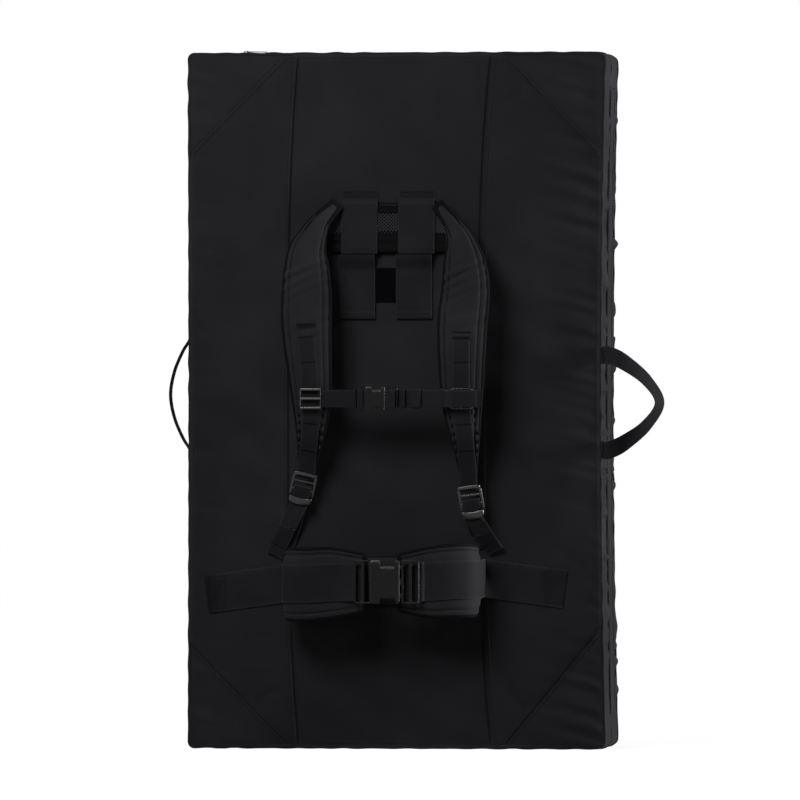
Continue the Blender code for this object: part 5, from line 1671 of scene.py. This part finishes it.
def straight_bar(start, end, outline, across, bow=(0.0, 0.0, 0.0), count=16):
    """A bar with that section between two points, bowed by a parabola."""
    share = np.linspace(0, 1, count)[:, None]
    start, end = np.array(start, float), np.array(end, float)
    path = start + (end - start) * share + np.array(bow) * 4 * share * (1 - share)
    return carried_profile(path, across, outline)


def front_arch(reach, level, forward, drop):
    """A path from one side of the frame, forward past the webbing, across in a bow, and back."""
    half = [(1.0, 0.0, 0.0), (1.0, 0.55, 0.05), (0.90, 0.95, 0.35), (0.50, 1.0, 0.80)]
    shares = [*half, (0.0, 1.02, 1.0), *[(-out, ahead, low) for out, ahead, low in half[::-1]]]
    places = [(out * reach, -ahead * forward, level - low * drop) for out, ahead, low in shares]
    return smooth_path(places, arch_steps)


def make_ladder_lock(side, suffix):
    """A moulded ladder lock: rounded frame, two cross bars, a thumb lip below and a guard above."""
    ring = rounded_frame(lock_width - lock_bar, lock_length - lock_bar, lock_corner)
    parts = [carried_profile(ring, (0, 1, 0), oval(lock_thickness, lock_bar, 14, 0.75), closed=True)]
    reach = lock_width / 2 - lock_bar / 2
    section = oval(lock_bar * lock_bar_share, lock_thickness * lock_bar_share, 14, 0.8)
    for k, back in lock_bars:
        z = lock_top - lock_pitch * k
        parts.append(straight_bar((-reach, back, z), (reach, back, z), section, (0, 0, 1)))
    swelling = np.sin(np.linspace(0, math.pi, arch_steps))
    lip = np.stack([oval(lip_width + lip_swell * grown, lip_thickness, 18, 0.8) for grown in swelling])
    low_arch = front_arch(reach, lip_rise - lock_top, lip_forward, lip_drop)
    parts.append(carried_profile(low_arch, (0, 0, 1), lip))
    high_arch = front_arch(reach, lock_top, guard_forward, guard_drop)
    parts.append(carried_profile(high_arch, (0, 0, 1), oval(*guard_section)))
    lock = placed(joined(parts), lock_place(side))
    name, node = f"ladder_lock_{suffix}_moulding", "ladder_lock_" + suffix
    add_piece(name, lock, "polished_acetal", "harness", node, sharp=50)


strap_binding_extra = 0.0022
strap_seam_margin = 0.0065


def make_shoulder_strap(side, suffix):
    """Padding in cloth, its edge bound with tape, its seams, and the tacked webbing in front."""
    path, across, normal, width, thickness = strap_frame(side)
    edge = np.minimum(strap_edge_thickness, thickness)
    pad = padded_strip(path, across, normal, width, thickness, edge, relief=strap_relief)
    strap = add_piece(f"shoulder_pad_{suffix}", pad, "strap_cloth", "harness", "shoulder_strap_" + suffix)
    loop, away = strip_outline(path, across, normal, width)
    binding = bound_edge(loop, away, strip_binding_width, strap_edge_thickness + strap_binding_extra)
    add_piece(f"shoulder_binding_{suffix}", binding, "binding_tape", "harness")
    rows = strip_seams(path, across, normal, width, thickness, edge, quilt_share, strap_seam_margin)
    rows += make_daisy_webbing(side, suffix)
    add_stitches(f"shoulder_stitches_{suffix}", rows, "harness")


def lock_slots():
    """Heights of the lock's three slots, from the top."""
    return [lock_top - lock_pitch * (k + 0.5) for k in range(3)]


def through_lock(side, turns):
    """Points of webbing at the lock, given as places off its plane and heights, and the lock's own width."""
    place = lock_place(side)
    points = [np.array(place @ Vector((0, y, z))) for y, z in turns]
    return points, np.array(place.to_3x3() @ Vector((1, 0, 0)))


lock_lift = lock_thickness / 2 + webbing_thickness / 2 + loop_clearance


def make_daisy_webbing(side, suffix):
    """Webbing down the strap's front, then round the lock's top bar; gives back the tacks that hold it."""
    which = 0 if side < 0 else 1
    path, across, normal, _, thickness = strap_frame(side, lock_path_steps)
    slot = lock_slots()[0]
    end = lock_length / 2
    turns = [(-lock_lift, end), (-lock_lift, slot), (lock_lift, slot), (lock_lift, end)]
    looped, lock_across = through_lock(side, turns)
    begin = int(np.argmax(path[:, 2] < daisy_tops[which]))
    outside = path + normal * (thickness / 2 + fit_gap + webbing_thickness / 2)[:, None]
    back = path[-2] - normal[-2] * (thickness[-2] / 2 + webbing_thickness / 2 + 2 * loop_clearance)
    sewn = smooth_path([(*point, *way) for point, way in zip(outside[begin:], across[begin:])], 90)
    looped = [(*point, *lock_across) for point in looped]
    line = bent_path([*sewn, *looped, (*back, *across[-1])], bend_reach)
    strap = flat_strap(line[:, :3], line[:, 3:], narrow_webbing, webbing_thickness)
    add_piece(f"daisy_strap_{suffix}", strap, "webbing_weave", "harness", "daisy_webbing_" + suffix)
    path, across, normal, _, thickness = strap_frame(side)
    marks = [(z, tack_length) for z in tack_heights]
    marks += [(daisy_tops[which] - drop, top_tack_length) for drop in top_tack_drops]
    tacks = []
    for z, length in marks:
        near = int(np.argmin(np.abs(path[:, 2] - z)))
        centre = path[near] + normal[near] * (thickness[near] / 2 + fit_gap + webbing_thickness)
        tacks.append(bar_tack(centre, across[near], tangents(path)[near], normal[near], length, tack_width))
    return tacks


# For the left and the right webbing: where it is sewn down, and how its tail hangs from the lock
anchor_x = (-0.158, 0.121)
anchor_below = (0.1248, 0.0898)
anchor_sewn = 0.020
anchor_tack_back = 0.012
anchor_tack_step = 0.005
anchor_tack_length = 0.020
tail_out = (0.038, 0.030)
tail_drop = (0.074, 0.048)
tail_back = 0.018
tail_sag = 0.004
tail_steps = 24
tail_joint_steps = 8
tail_hem = 0.016
tail_hem_width_share = 1.01
tail_hem_thickness_share = 1.7


def face_across(x, z, way, width):
    """Direction across webbing that lies on the carry face; way is across it in X and Z."""
    step_x, step_z = np.array(way) * width / 2
    return unit(on_face(x + step_x, z + step_z, 0) - on_face(x - step_x, z - step_z, 0))


def make_adjuster(side, suffix):
    """One length of webbing: sewn to the pad, up through the lock, and down in front as its tail."""
    which = 0 if side < 0 else 1
    slots = lock_slots()
    tail_lift = lock_lift + webbing_thickness + 2 * loop_clearance
    below = -lock_length / 2 - lock_bar
    threaded, lock_across = through_lock(side, [
        (-lock_lift, below), (-lock_lift, slots[2]), (lock_lift, slots[2]), (lock_lift, slots[1]),
        (-tail_lift, slots[1]), (-tail_lift, below),
    ])
    x = anchor_x[which]
    top = strap_frame(side, lock_path_steps)[0][-1, 2] - anchor_below[which]
    way_x, _, way_z = unit(threaded[0] - on_face(x, top, 0))
    way = unit(np.array((way_x, way_z)))
    root = []
    for back in (anchor_sewn, anchor_sewn / 2, 0):
        place_x, place_z = np.array((x, top)) - way * back
        across = face_across(place_x, place_z, (way[1], -way[0]), narrow_webbing)
        root.append((*on_face(place_x, place_z, webbing_thickness / 2), *across))
    rise = bent_path([*root, *[(*point, *lock_across) for point in threaded[:4]]], bend_reach)
    strap = flat_strap(rise[:, :3], rise[:, 3:], narrow_webbing, webbing_thickness)
    name, node = f"adjuster_strap_{suffix}", "adjuster_webbing_" + suffix
    piece = add_piece(name, strap, "webbing_weave", None, node)
    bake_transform(piece)
    end = threaded[-1] + np.array((side * tail_out[which], tail_back, -tail_drop[which]))
    tail = [(threaded[-1] + end) / 2 + np.array((0, -tail_sag, 0)), end]
    fall = bent_path([(*point, *lock_across) for point in (*threaded[3:], *tail)], bend_reach)
    fall = np.concatenate([fall[:-2], smooth_path(fall[-3:], tail_steps)[tail_joint_steps:]])
    strap = flat_strap(fall[:, :3], fall[:, 3:], narrow_webbing, webbing_thickness)
    tip = fall[-1, :3]
    folded = np.linspace(tip + unit(fall[-2, :3] - tip) * tail_hem, tip, 8)
    hem_size = (narrow_webbing * tail_hem_width_share, webbing_thickness * tail_hem_thickness_share)
    hem = flat_strap(folded, fall[-1, 3:], *hem_size)
    add_piece(f"adjuster_tail_{suffix}", joined([strap, hem]), "webbing_weave", "harness")
    centre_x, centre_z = np.array((x, top)) - way * anchor_tack_back
    centre = on_face(centre_x, centre_z, webbing_thickness)
    along = np.array((way[0], 0, way[1]))
    centres = [centre + along * step for step in (-anchor_tack_step, anchor_tack_step)]
    size = (anchor_tack_length, tack_width)
    tacks = [bar_tack(place, root[1][3:], along, face_out, *size) for place in centres]
    add_stitches(f"adjuster_tacks_{suffix}", tacks, "root")


# Side-release buckles, in shares of length, height and thickness

buckle_ladder_share = 0.35
buckle_rail_share = 0.040
buckle_slot_shares = (0.295, 0.430)
buckle_slot_half_share = 0.035
buckle_ring_shares = (0.275, 0.3625, 0.06, 1.1)
# Each upright bar of the ladder: place and width along the buckle, and how round it is
buckle_bar_shares = ((0.2425, 0.036, 0.4), (0.3625, 0.063, 0.7), (0.4825, 0.034, 0.7))
buckle_bar_depth_share = 1.08
buckle_thread_end_share = 0.54
slot_clearance = 0.0010
shell_ends_share = (-0.25, 0.20)
shell_waist_shares = (-0.085, 0.125, 0.018)
shell_waist_depth_share = 0.30
shell_end_cut_share = 0.05
shell_dome_share = 0.55
socket_bridge_shares = (-0.225, 0.048, 0.94, 1.1)
# Side walls of the socket: from and to along the buckle, off the middle line, and height
socket_wall_shares = ((-0.248, -0.102), (0.142, 0.198))
socket_wall_off_share = 0.447
socket_wall_height_share = 0.09
prong_start_shares = (0.26, 0.325)
prong_end_shares = (-0.155, 0.320)
prong_bow_share = 0.004
prong_height_share = 0.10
prong_depth_share = 0.38
tongue_shares = (-0.10, 0.26, 0.15)


def upright_bar(x, width, height, thickness, power=0.6):
    """A bar along Z with a rounded section."""
    return straight_bar((x, 0, -height / 2), (x, 0, height / 2), oval(width, thickness, 14, power), (1, 0, 0))


def level_bar(low_x, high_x, z, height, thickness, power=0.6):
    """A bar along X with a rounded section."""
    return straight_bar((low_x, 0, z), (high_x, 0, z), oval(height, thickness, 14, power), (0, 0, 1))


def moved(shape, place):
    shape["points"] = shape["points"] + np.array(place)
    return shape


def buckle_ladder(length, height, thickness, turn):
    """The end that holds webbing: a rounded frame with a cross bar and a broad inner bar."""
    deep = thickness * buckle_ladder_share
    rail = height * buckle_rail_share
    wide, middle, corner, ring_depth = buckle_ring_shares
    ring = rounded_frame(length * wide - rail, height - rail, height * corner)
    ring = carried_profile(ring, (0, 1, 0), oval(deep * ring_depth, rail, 14, 0.7), closed=True)
    depth = deep * buckle_bar_depth_share
    bars = [
        upright_bar(turn * length * share, length * width, height - rail, depth, power)
        for share, width, power in buckle_bar_shares
    ]
    return [moved(ring, (turn * length * middle, 0, 0)), *bars]


def buckle_shell(length, height, thickness, way):
    """One wall of the female half: domed, rounded at its ends, waisted where the prongs show."""
    low, high = shell_ends_share
    u, v = np.meshgrid(np.linspace(low, high, 72), crowded(33), indexing="ij")
    along = (u - (low + high) / 2) / ((high - low) / 2)
    waist = 1 - shell_waist_depth_share * soft_box(u, *shell_waist_shares)
    x = u * length
    z = height / 2 * waist * (1 - shell_end_cut_share * np.abs(along) ** 14) * v
    deep = thickness / 4
    round_off = np.maximum(np.abs(v) ** 10, np.abs(along) ** 16)
    outer = deep + (thickness / 2 - deep) * (1 - shell_dome_share * round_off)
    front, back = (stacked(x, -way * depth, z) for depth in (outer, deep))
    return slab(front, back, stacked(x, z), np.clip(round_off, 0, 1))


def make_buckle(names, nodes, centre, size, bodies):
    """Female half on the left: two walls, side walls and a ladder; male half: a ladder and three prongs."""
    length, height, thickness = size
    parts = [buckle_shell(length, height, thickness, way) for way in (1, -1)]
    parts += buckle_ladder(length, height, thickness, -1)
    place, wide, tall, fat = socket_bridge_shares
    deep = thickness / 2 * fat
    parts.append(upright_bar(place * length, wide * length, height * tall, deep, 0.3))
    for sign in (-1, 1):
        for low, high in socket_wall_shares:
            z = sign * socket_wall_off_share * height
            wall_height = socket_wall_height_share * height
            parts.append(level_bar(low * length, high * length, z, wall_height, deep, 0.35))
    female = moved(joined(parts), centre)
    add_piece(names[0], female, "moulded_acetal", bodies[0], nodes[0], sharp=40)
    parts = buckle_ladder(length, height, thickness, 1)
    slim = thickness * prong_depth_share
    section = oval(prong_height_share * height, slim, 14, 0.5)
    for sign in (-1, 1):
        start, end = ((x * length, 0, sign * z * height) for x, z in (prong_start_shares, prong_end_shares))
        bow = (0, 0, sign * prong_bow_share * height)
        parts.append(straight_bar(start, end, section, (0, 0, 1), bow, 28))
    low, high, tall = tongue_shares
    parts.append(level_bar(low * length, high * length, 0, tall * height, slim, 0.4))
    male = moved(joined(parts), centre)
    add_piece(names[1], male, "moulded_acetal", bodies[1], nodes[1], sharp=40)


def ladder_thread(length, thickness):
    """A webbing's turns round a ladder's bar: shares of length outwards, and heights off its plane."""
    lift = thickness * buckle_ladder_share / 2 + webbing_thickness / 2 + loop_clearance
    room = (webbing_thickness / 2 + loop_clearance + slot_clearance) / length
    inner, outer = buckle_slot_shares
    inner = inner + buckle_slot_half_share - room
    outer = outer - buckle_slot_half_share + room
    middle = (inner + outer) / 2
    begin = (buckle_thread_end_share, lift + 2 * loop_clearance)
    return (begin, (outer, lift), (outer, -lift), (inner, -lift), (inner, lift), (middle, lift))


keeper_corner_share = 0.45
keeper_tape_thickness = 0.0011


def keeper(x, y, z, height, thickness, width):
    """A band round webbing that runs along X."""
    ring = rounded_frame(thickness, height, thickness * keeper_corner_share, 8)
    ring = stacked(x, y + ring[:, 0], z + ring[:, 2])
    return carried_profile(ring, (1, 0, 0), oval(width, keeper_tape_thickness, 14, 0.5), closed=True)


# Sternum strap

sternum_drop_share = 0.729
sternum_z = strap_top_z - sternum_drop_share * strap_drop
sternum_stand = 0.0852
sternum_y = -half_thickness / 2 - sternum_stand
slider_length = 0.032
slider_height = 0.030
slider_thickness = 0.0030
slider_bar = 0.0030
slider_corner = 0.0040
slider_rail_share = 0.55
slider_level_share = 1.2
slider_level_depth_share = 1.1
slider_bar_gap = 0.0025
sternum_buckle_x = -0.020
sternum_buckle_size = (0.062, 0.035, 0.009)
# The free end lies over the right slider: steps along X from its middle, and back towards the strap
sternum_free_end = ((-0.024, 0.0), (-0.010, -0.0008), (0.006, 0.0), (0.020, 0.0006), (0.029, 0.0040))
# Middle and width of each band round the right webbing
sternum_keepers = ((0.0190, 0.0050), (0.0370, 0.0150), (0.0750, 0.0100))
keeper_height = 0.0272
keeper_thickness = 0.0050


def chest_slider(side):
    """A small frame round the daisy webbing: three level bars on the left, three upright on the right."""
    rail = slider_bar * slider_rail_share
    ring = rounded_frame(slider_length - slider_bar, slider_height - rail, slider_corner)
    parts = [carried_profile(ring, (0, 1, 0), oval(slider_thickness, rail, 14, 0.7), closed=True)]
    level = slider_bar * slider_level_share
    for share in (-1, 0, 1):
        if side < 0:
            reach = (slider_length - slider_bar) / 2
            z = share * (slider_height - level) / 2
            deep = slider_thickness * slider_level_depth_share
            parts.append(level_bar(-reach, reach, z, level, deep))
        else:
            place = share * (slider_length - slider_bar) / 2
            parts.append(upright_bar(place, slider_bar, slider_height - slider_bar_gap, slider_thickness))
    return joined(parts)


def chest_webbing(side, middle):
    """Webbing from the buckle's ladder to a slider; the right one's free end lies over its slider."""
    lift = slider_thickness / 2 + webbing_thickness / 2 + loop_clearance
    edge = middle - side * slider_length / 2
    if side < 0:
        turns = [(edge, lift), (edge + side * slider_bar, lift)]
    else:
        half_pitch = (slider_length - slider_bar) / 4
        inner, outer = middle - half_pitch, middle + half_pitch
        turns = [
            (edge, -lift), (inner, -lift), (inner, lift), (outer, lift), (outer, -lift),
            (outer + slider_bar, -lift),
        ]
    length, _, thickness = sternum_buckle_size
    thread = ladder_thread(length, thickness)
    rows = [(sternum_buckle_x + side * share * length, rise) for share, rise in thread]
    lines = [[*rows[::-1], *turns]]
    if side > 0:
        over = -lift - webbing_thickness - 2 * loop_clearance
        lines.append([(middle + step, over + back) for step, back in sternum_free_end])
    paths = [bent_path([(x, sternum_y + rise, sternum_z) for x, rise in line], bend_reach) for line in lines]
    return joined([flat_strap(path, (0, 0, 1), narrow_webbing, webbing_thickness) for path in paths])


def make_sternum_strap():
    """The buckle, and on each side a slider and its webbing, with bands that keep the free end down."""
    names = ("chest_buckle_socket", "chest_buckle_prongs")
    nodes = ("sternum_buckle_female", "sternum_buckle_male")
    centre = (sternum_buckle_x, sternum_y, sternum_z)
    make_buckle(names, nodes, centre, sternum_buckle_size, ("sternum_strap", "sternum_release"))
    for side, suffix in ((-1, "left"), (1, "right")):
        path = strap_frame(side, lock_path_steps)[0]
        middle = path[int(np.argmin(np.abs(path[:, 2] - sternum_z))), 0]
        slider = moved(chest_slider(side), (middle, sternum_y, sternum_z))
        name, node = f"chest_slider_{suffix}", "sternum_slider_" + suffix
        add_piece(name, slider, "polished_acetal", "sternum_strap", node, sharp=50)
        name, node = f"chest_webbing_{suffix}", "sternum_webbing_" + suffix
        body = "sternum_strap" if side < 0 else None
        piece = add_piece(name, chest_webbing(side, middle), "webbing_weave", body, node)
        if side > 0:
            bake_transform(piece)
    size = (keeper_height, keeper_thickness)
    bands = [keeper(x, sternum_y, sternum_z, *size, width) for x, width in sternum_keepers]
    add_piece("chest_keepers_loose", joined(bands[:-1]), "webbing_weave", "sternum_release")
    add_piece("chest_keeper_sewn", bands[-1], "webbing_weave", "sternum_strap")


# Hip belt: each row out from the middle line, away from the pad, rise, height

belt_z = 0.2415
# For the left and the right half
belt_rises = (-0.003, 0.003)
belt_half_widths = (0.141, 0.130)
belt_tab_drop = 0.0155
belt_webbing_lift = 0.0008
belt_stand = 0.086
belt_wing_thickness = 0.012
belt_wing_edge = 0.005
belt_wing_height = 0.104
belt_wing_drop = 0.0015
belt_wing_shares = (
    (0.950, 0.33, 1.5, 0.52), (0.990, 0.45, 1.3, 0.80), (1.000, 0.66, 1.0, 0.96), (0.935, 0.86, 1.0, 1.00),
    (0.770, 0.955, 1.0, 1.00), (0.520, 0.990, 0.2, 0.97), (0.200, 1.000, 0.0, 0.80),
)
belt_quilt_share = 0.82
belt_seam_margin = 0.0070
belt_binding_extra = 0.0016
belt_steps = 120
belt_route_steps = 16
belt_skip_share = 0.125
belt_tab_length = 0.114
belt_tab_shares = (1, 0.75, 0.5, 0.25, 0)
belt_bend = 0.004
belt_buckle_x = -0.0034
belt_buckle_size = (0.094, 0.062, 0.012)
belt_buckle_stand = 0.100
belt_buckle_y = -half_thickness / 2 - belt_buckle_stand
# The webbing ends behind the ladder's outer bar
belt_behind_shares = (0.54, 0.475)
belt_box_free = 0.030
belt_box_inset = 0.003
belt_box_edge = 0.004
belt_box_drop_share = 0.85
lumbar_edge = 0.0036
lumbar_crown = 0.0062
lumbar_binding = (0.0020, 0.0080, 0.0036)


def belt_frame(side, count):
    """The wing's middle line from the pad to the buckle, with its heights."""
    shares = np.array(belt_wing_shares)
    which = 0 if side < 0 else 1
    rows = stacked(
        harness_x + side * shares[:, 0] * belt_half_widths[which],
        -half_thickness / 2 - shares[:, 1] * belt_stand,
        belt_z + shares[:, 2] * belt_rises[which] - belt_wing_drop,
        shares[:, 3] * belt_wing_height,
    )
    return smooth_path(rows, count)


def make_lumbar_pad():
    names = ("lumbar_cushion", "lumbar_binding")
    bound_cushion(names, "lumbar_pad", "strap_cloth", lumbar_edge, lumbar_crown, (4, 4), lumbar_binding)


def make_hip_wing(side, suffix):
    """A padded wing in cloth with its edge bound and its seams."""
    curve = belt_frame(side, belt_steps)
    path, height = curve[:, :3], curve[:, 3]
    across = np.broadcast_to((0.0, 0.0, 1.0), path.shape)
    normal = unit(np.cross(tangents(path), across)) * -side
    thickness = np.full(len(path), belt_wing_thickness)
    edge = np.full(len(path), belt_wing_edge)
    pad = padded_strip(path, across, normal, height, thickness, edge, belt_quilt_share)
    wing = add_piece(f"hip_pad_{suffix}", pad, "strap_cloth", "hip_belt", "hip_wing_" + suffix)
    loop, away = strip_outline(path, across, normal, height)
    binding = bound_edge(loop, away, strip_binding_width, belt_wing_edge + belt_binding_extra)
    add_piece(f"hip_binding_{suffix}", binding, "binding_tape", "hip_belt")
    rows = strip_seams(path, across, normal, height, thickness, edge, belt_quilt_share, belt_seam_margin)
    add_stitches(f"hip_stitches_{suffix}", rows, "hip_belt")


def belt_route(side):
    """The wing's outside as the webbing follows it: points from the pad to the buckle."""
    path = belt_frame(side, belt_route_steps)[:, :3]
    outward = unit(np.cross(tangents(path), (0, 0, 1))) * -side
    outside = path + outward * (belt_wing_thickness / 2 + belt_webbing_lift + webbing_thickness / 2)
    outside[:, 2] += belt_wing_drop
    skipped = round(belt_route_steps * belt_skip_share)
    return outside[skipped:-skipped]


def make_belt_webbing(side, suffix):
    """One wide webbing: sewn flat on the pad, round the wing's outside, and behind the buckle's ladder."""
    outside = belt_route(side)
    root_x = outside[0, 0] + side * belt_bend
    tab = []
    for share in belt_tab_shares:
        x = root_x + side * share * belt_tab_length
        z = outside[0, 2] - belt_tab_drop * share
        across = face_across(x, z, (0, 1), belt_webbing)
        tab.append((*on_face(x, z, webbing_thickness / 2 + face_gap), *across))
    length, _, thickness = belt_buckle_size
    behind = thickness * buckle_ladder_share / 2 + webbing_thickness / 2 + 2 * loop_clearance
    places = [belt_buckle_x + side * share * length for share in belt_behind_shares]
    turns = [(place, belt_buckle_y + behind, belt_z) for place in places]
    parting = (outside[-1] + np.array(turns[0])) / 2
    route = [*smooth_path(outside, 60), parting, *turns]
    line = bent_path([*tab, *[(*point, 0.0, 0.0, 1.0) for point in route]], bend_reach)
    cut = len(line) if side < 0 else int(np.argmin(np.linalg.norm(line[:, :3] - parting, axis=1))) + 1
    strap = flat_strap(line[:cut, :3], line[:cut, 3:], belt_webbing, webbing_thickness)
    piece = add_piece(f"belt_strap_{suffix}", strap, "webbing_weave", None, "belt_webbing_" + suffix)
    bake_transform(piece)
    if side > 0:
        strap = flat_strap(line[cut - 1 :, :3], line[cut - 1 :, 3:], belt_webbing, webbing_thickness)
        piece = add_piece("belt_buckle_strap", strap, "webbing_weave", None)
        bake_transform(piece)
    low_x, high_x = sorted((tab[0][0], root_x + side * (belt_tab_length - belt_box_free)))
    ends = (low_x + belt_box_inset, high_x - belt_box_inset)
    z = outside[0, 2] - belt_tab_drop * belt_box_drop_share
    half = belt_webbing / 2 - belt_box_edge
    stitches = box_stitch(*ends, z - half, z + half, webbing_thickness + face_gap)
    add_stitches(f"belt_stitches_{suffix}", stitches, "root")


# The plain floor, the light and the camera

floor_reach = 60.0
floor_glow = 0.87
world_fill = 0.14
seen_white = 1.0
white = linear("ffffff")


def seen_directly(tree, *kinds):
    """1 for a ray of one of these kinds, such as the camera's own or one that a shiny face sends on."""
    ray = add_node(tree, "LightPath").outputs
    seen = ray[kinds[0]]
    for kind in kinds[1:]:
        seen = add_node(tree, "Math", {0: seen, 1: ray[kind]}, 0, operation="MAXIMUM")
    return seen


def shadow_floor():
    """White to the camera and in reflections, darker where the object keeps the light off it."""
    material = bpy.data.materials.new("white_floor")
    material.use_nodes = True
    tree = material.node_tree
    tree.nodes.clear()
    output = add_node(tree, "OutputMaterial")
    diffuse = add_node(tree, "BsdfDiffuse", {"Color": linear("7a7a7a")}, 0)
    seen = seen_directly(tree, "Is Camera Ray", "Is Glossy Ray")
    glow = add_node(tree, "Math", {0: seen, 1: floor_glow}, 0, operation="MULTIPLY")
    shine = add_node(tree, "Emission", {"Color": white, "Strength": glow}, 0)
    wire(tree, output, Surface=add_node(tree, "AddShader", {0: diffuse, 1: shine}, 0))
    return material


def make_stage():
    mesh = bpy.data.meshes.new("floor")
    corners = [(x * floor_reach, y * floor_reach, 0) for x, y in ((-1, -1), (1, -1), (1, 1), (-1, 1))]
    mesh.from_pydata(corners, [], [(0, 1, 2, 3)])
    mesh.materials.append(shadow_floor())
    floor = bpy.data.objects.new("floor", mesh)
    bpy.context.collection.objects.link(floor)
    world = bpy.data.worlds.new("studio")
    bpy.context.scene.world = world
    world.use_nodes = True
    tree = world.node_tree
    seen = seen_directly(tree, "Is Camera Ray", "Is Glossy Ray", "Is Transmission Ray")
    level = add_node(tree, "MapRange", {"Value": seen, "To Min": world_fill, "To Max": seen_white}, "Result")
    background = tree.nodes["Background"]
    background.inputs["Color"].default_value = white
    wire(tree, background, Strength=level)


key_place = (-0.70, -1.85, 1.85)
key_aim = (0.0, -0.1, 0.5)
key_power = 47.0
key_size = 0.85
# Large far lamps, each soft from one direction: where the light comes from, its strength and its spread
far_lamps = {
    "left_fill": ((-0.90, -0.50, 0.25), 0.4, math.radians(50)),
    "right_side": ((1.0, 0.03, 0.12), 8.0, math.radians(14)),
    "back_fill": ((-0.40, 0.85, 0.45), 1.4, math.radians(40)),
}


def add_lamp(name, kind, come_from, strength):
    """A lamp that shines from that direction."""
    data = bpy.data.lights.new(name, kind)
    data.energy = strength
    lamp = bpy.data.objects.new(name, data)
    lamp.rotation_euler = Vector(come_from).to_track_quat("Z", "Y").to_euler()
    bpy.context.collection.objects.link(lamp)
    return lamp


def make_lights():
    """A square softbox close enough for its light to fade across the pad, and the far lamps."""
    key = add_lamp("key", "AREA", Vector(key_place) - Vector(key_aim), key_power)
    key.location = key_place
    key.data.size = key_size
    for name, (come_from, strength, spread) in far_lamps.items():
        add_lamp(name, "SUN", come_from, strength).data.angle = spread


camera_target = (0.005, -0.05, 0.5007)
camera_turn = math.radians(6.2)
camera_distance = 16.0
frame_width = 1.147


def make_camera():
    """Far off and long-lensed, turned as far as the photograph shows the right side."""
    data = bpy.data.cameras.new("camera")
    data.lens = data.sensor_width * camera_distance / frame_width
    camera = bpy.data.objects.new("camera", data)
    back = Vector((math.sin(camera_turn), -math.cos(camera_turn), 0))
    camera.location = Vector(camera_target) + back * camera_distance
    camera.rotation_euler = (-back).to_track_quat("-Z", "Y").to_euler()
    bpy.context.collection.objects.link(camera)
    bpy.context.scene.camera = camera


make_half("near", -1, "root", "near_zip_pull")
make_half("far", 1, "far_half", "far_zip_pull")
make_hinge_strip()
make_closure("top", "closure_top")
make_closure("bottom", "closure_bottom")
make_left_handle()
make_right_handle()
make_yoke()
make_height_straps()
for harness_side, harness_suffix in ((-1, "left"), (1, "right")):
    make_shoulder_strap(harness_side, harness_suffix)
    make_ladder_lock(harness_side, harness_suffix)
    make_adjuster(harness_side, harness_suffix)
    make_hip_wing(harness_side, harness_suffix)
    make_belt_webbing(harness_side, harness_suffix)
make_sternum_strap()
make_lumbar_pad()
make_buckle(
    ("waist_socket", "waist_prongs"), ("waist_buckle_female", "waist_buckle_male"),
    (belt_buckle_x, belt_buckle_y, belt_z), belt_buckle_size, ("hip_belt", "waist_release"),
)
make_stage()
make_lights()
make_camera()
bpy.context.scene.view_settings.view_transform = "Standard"
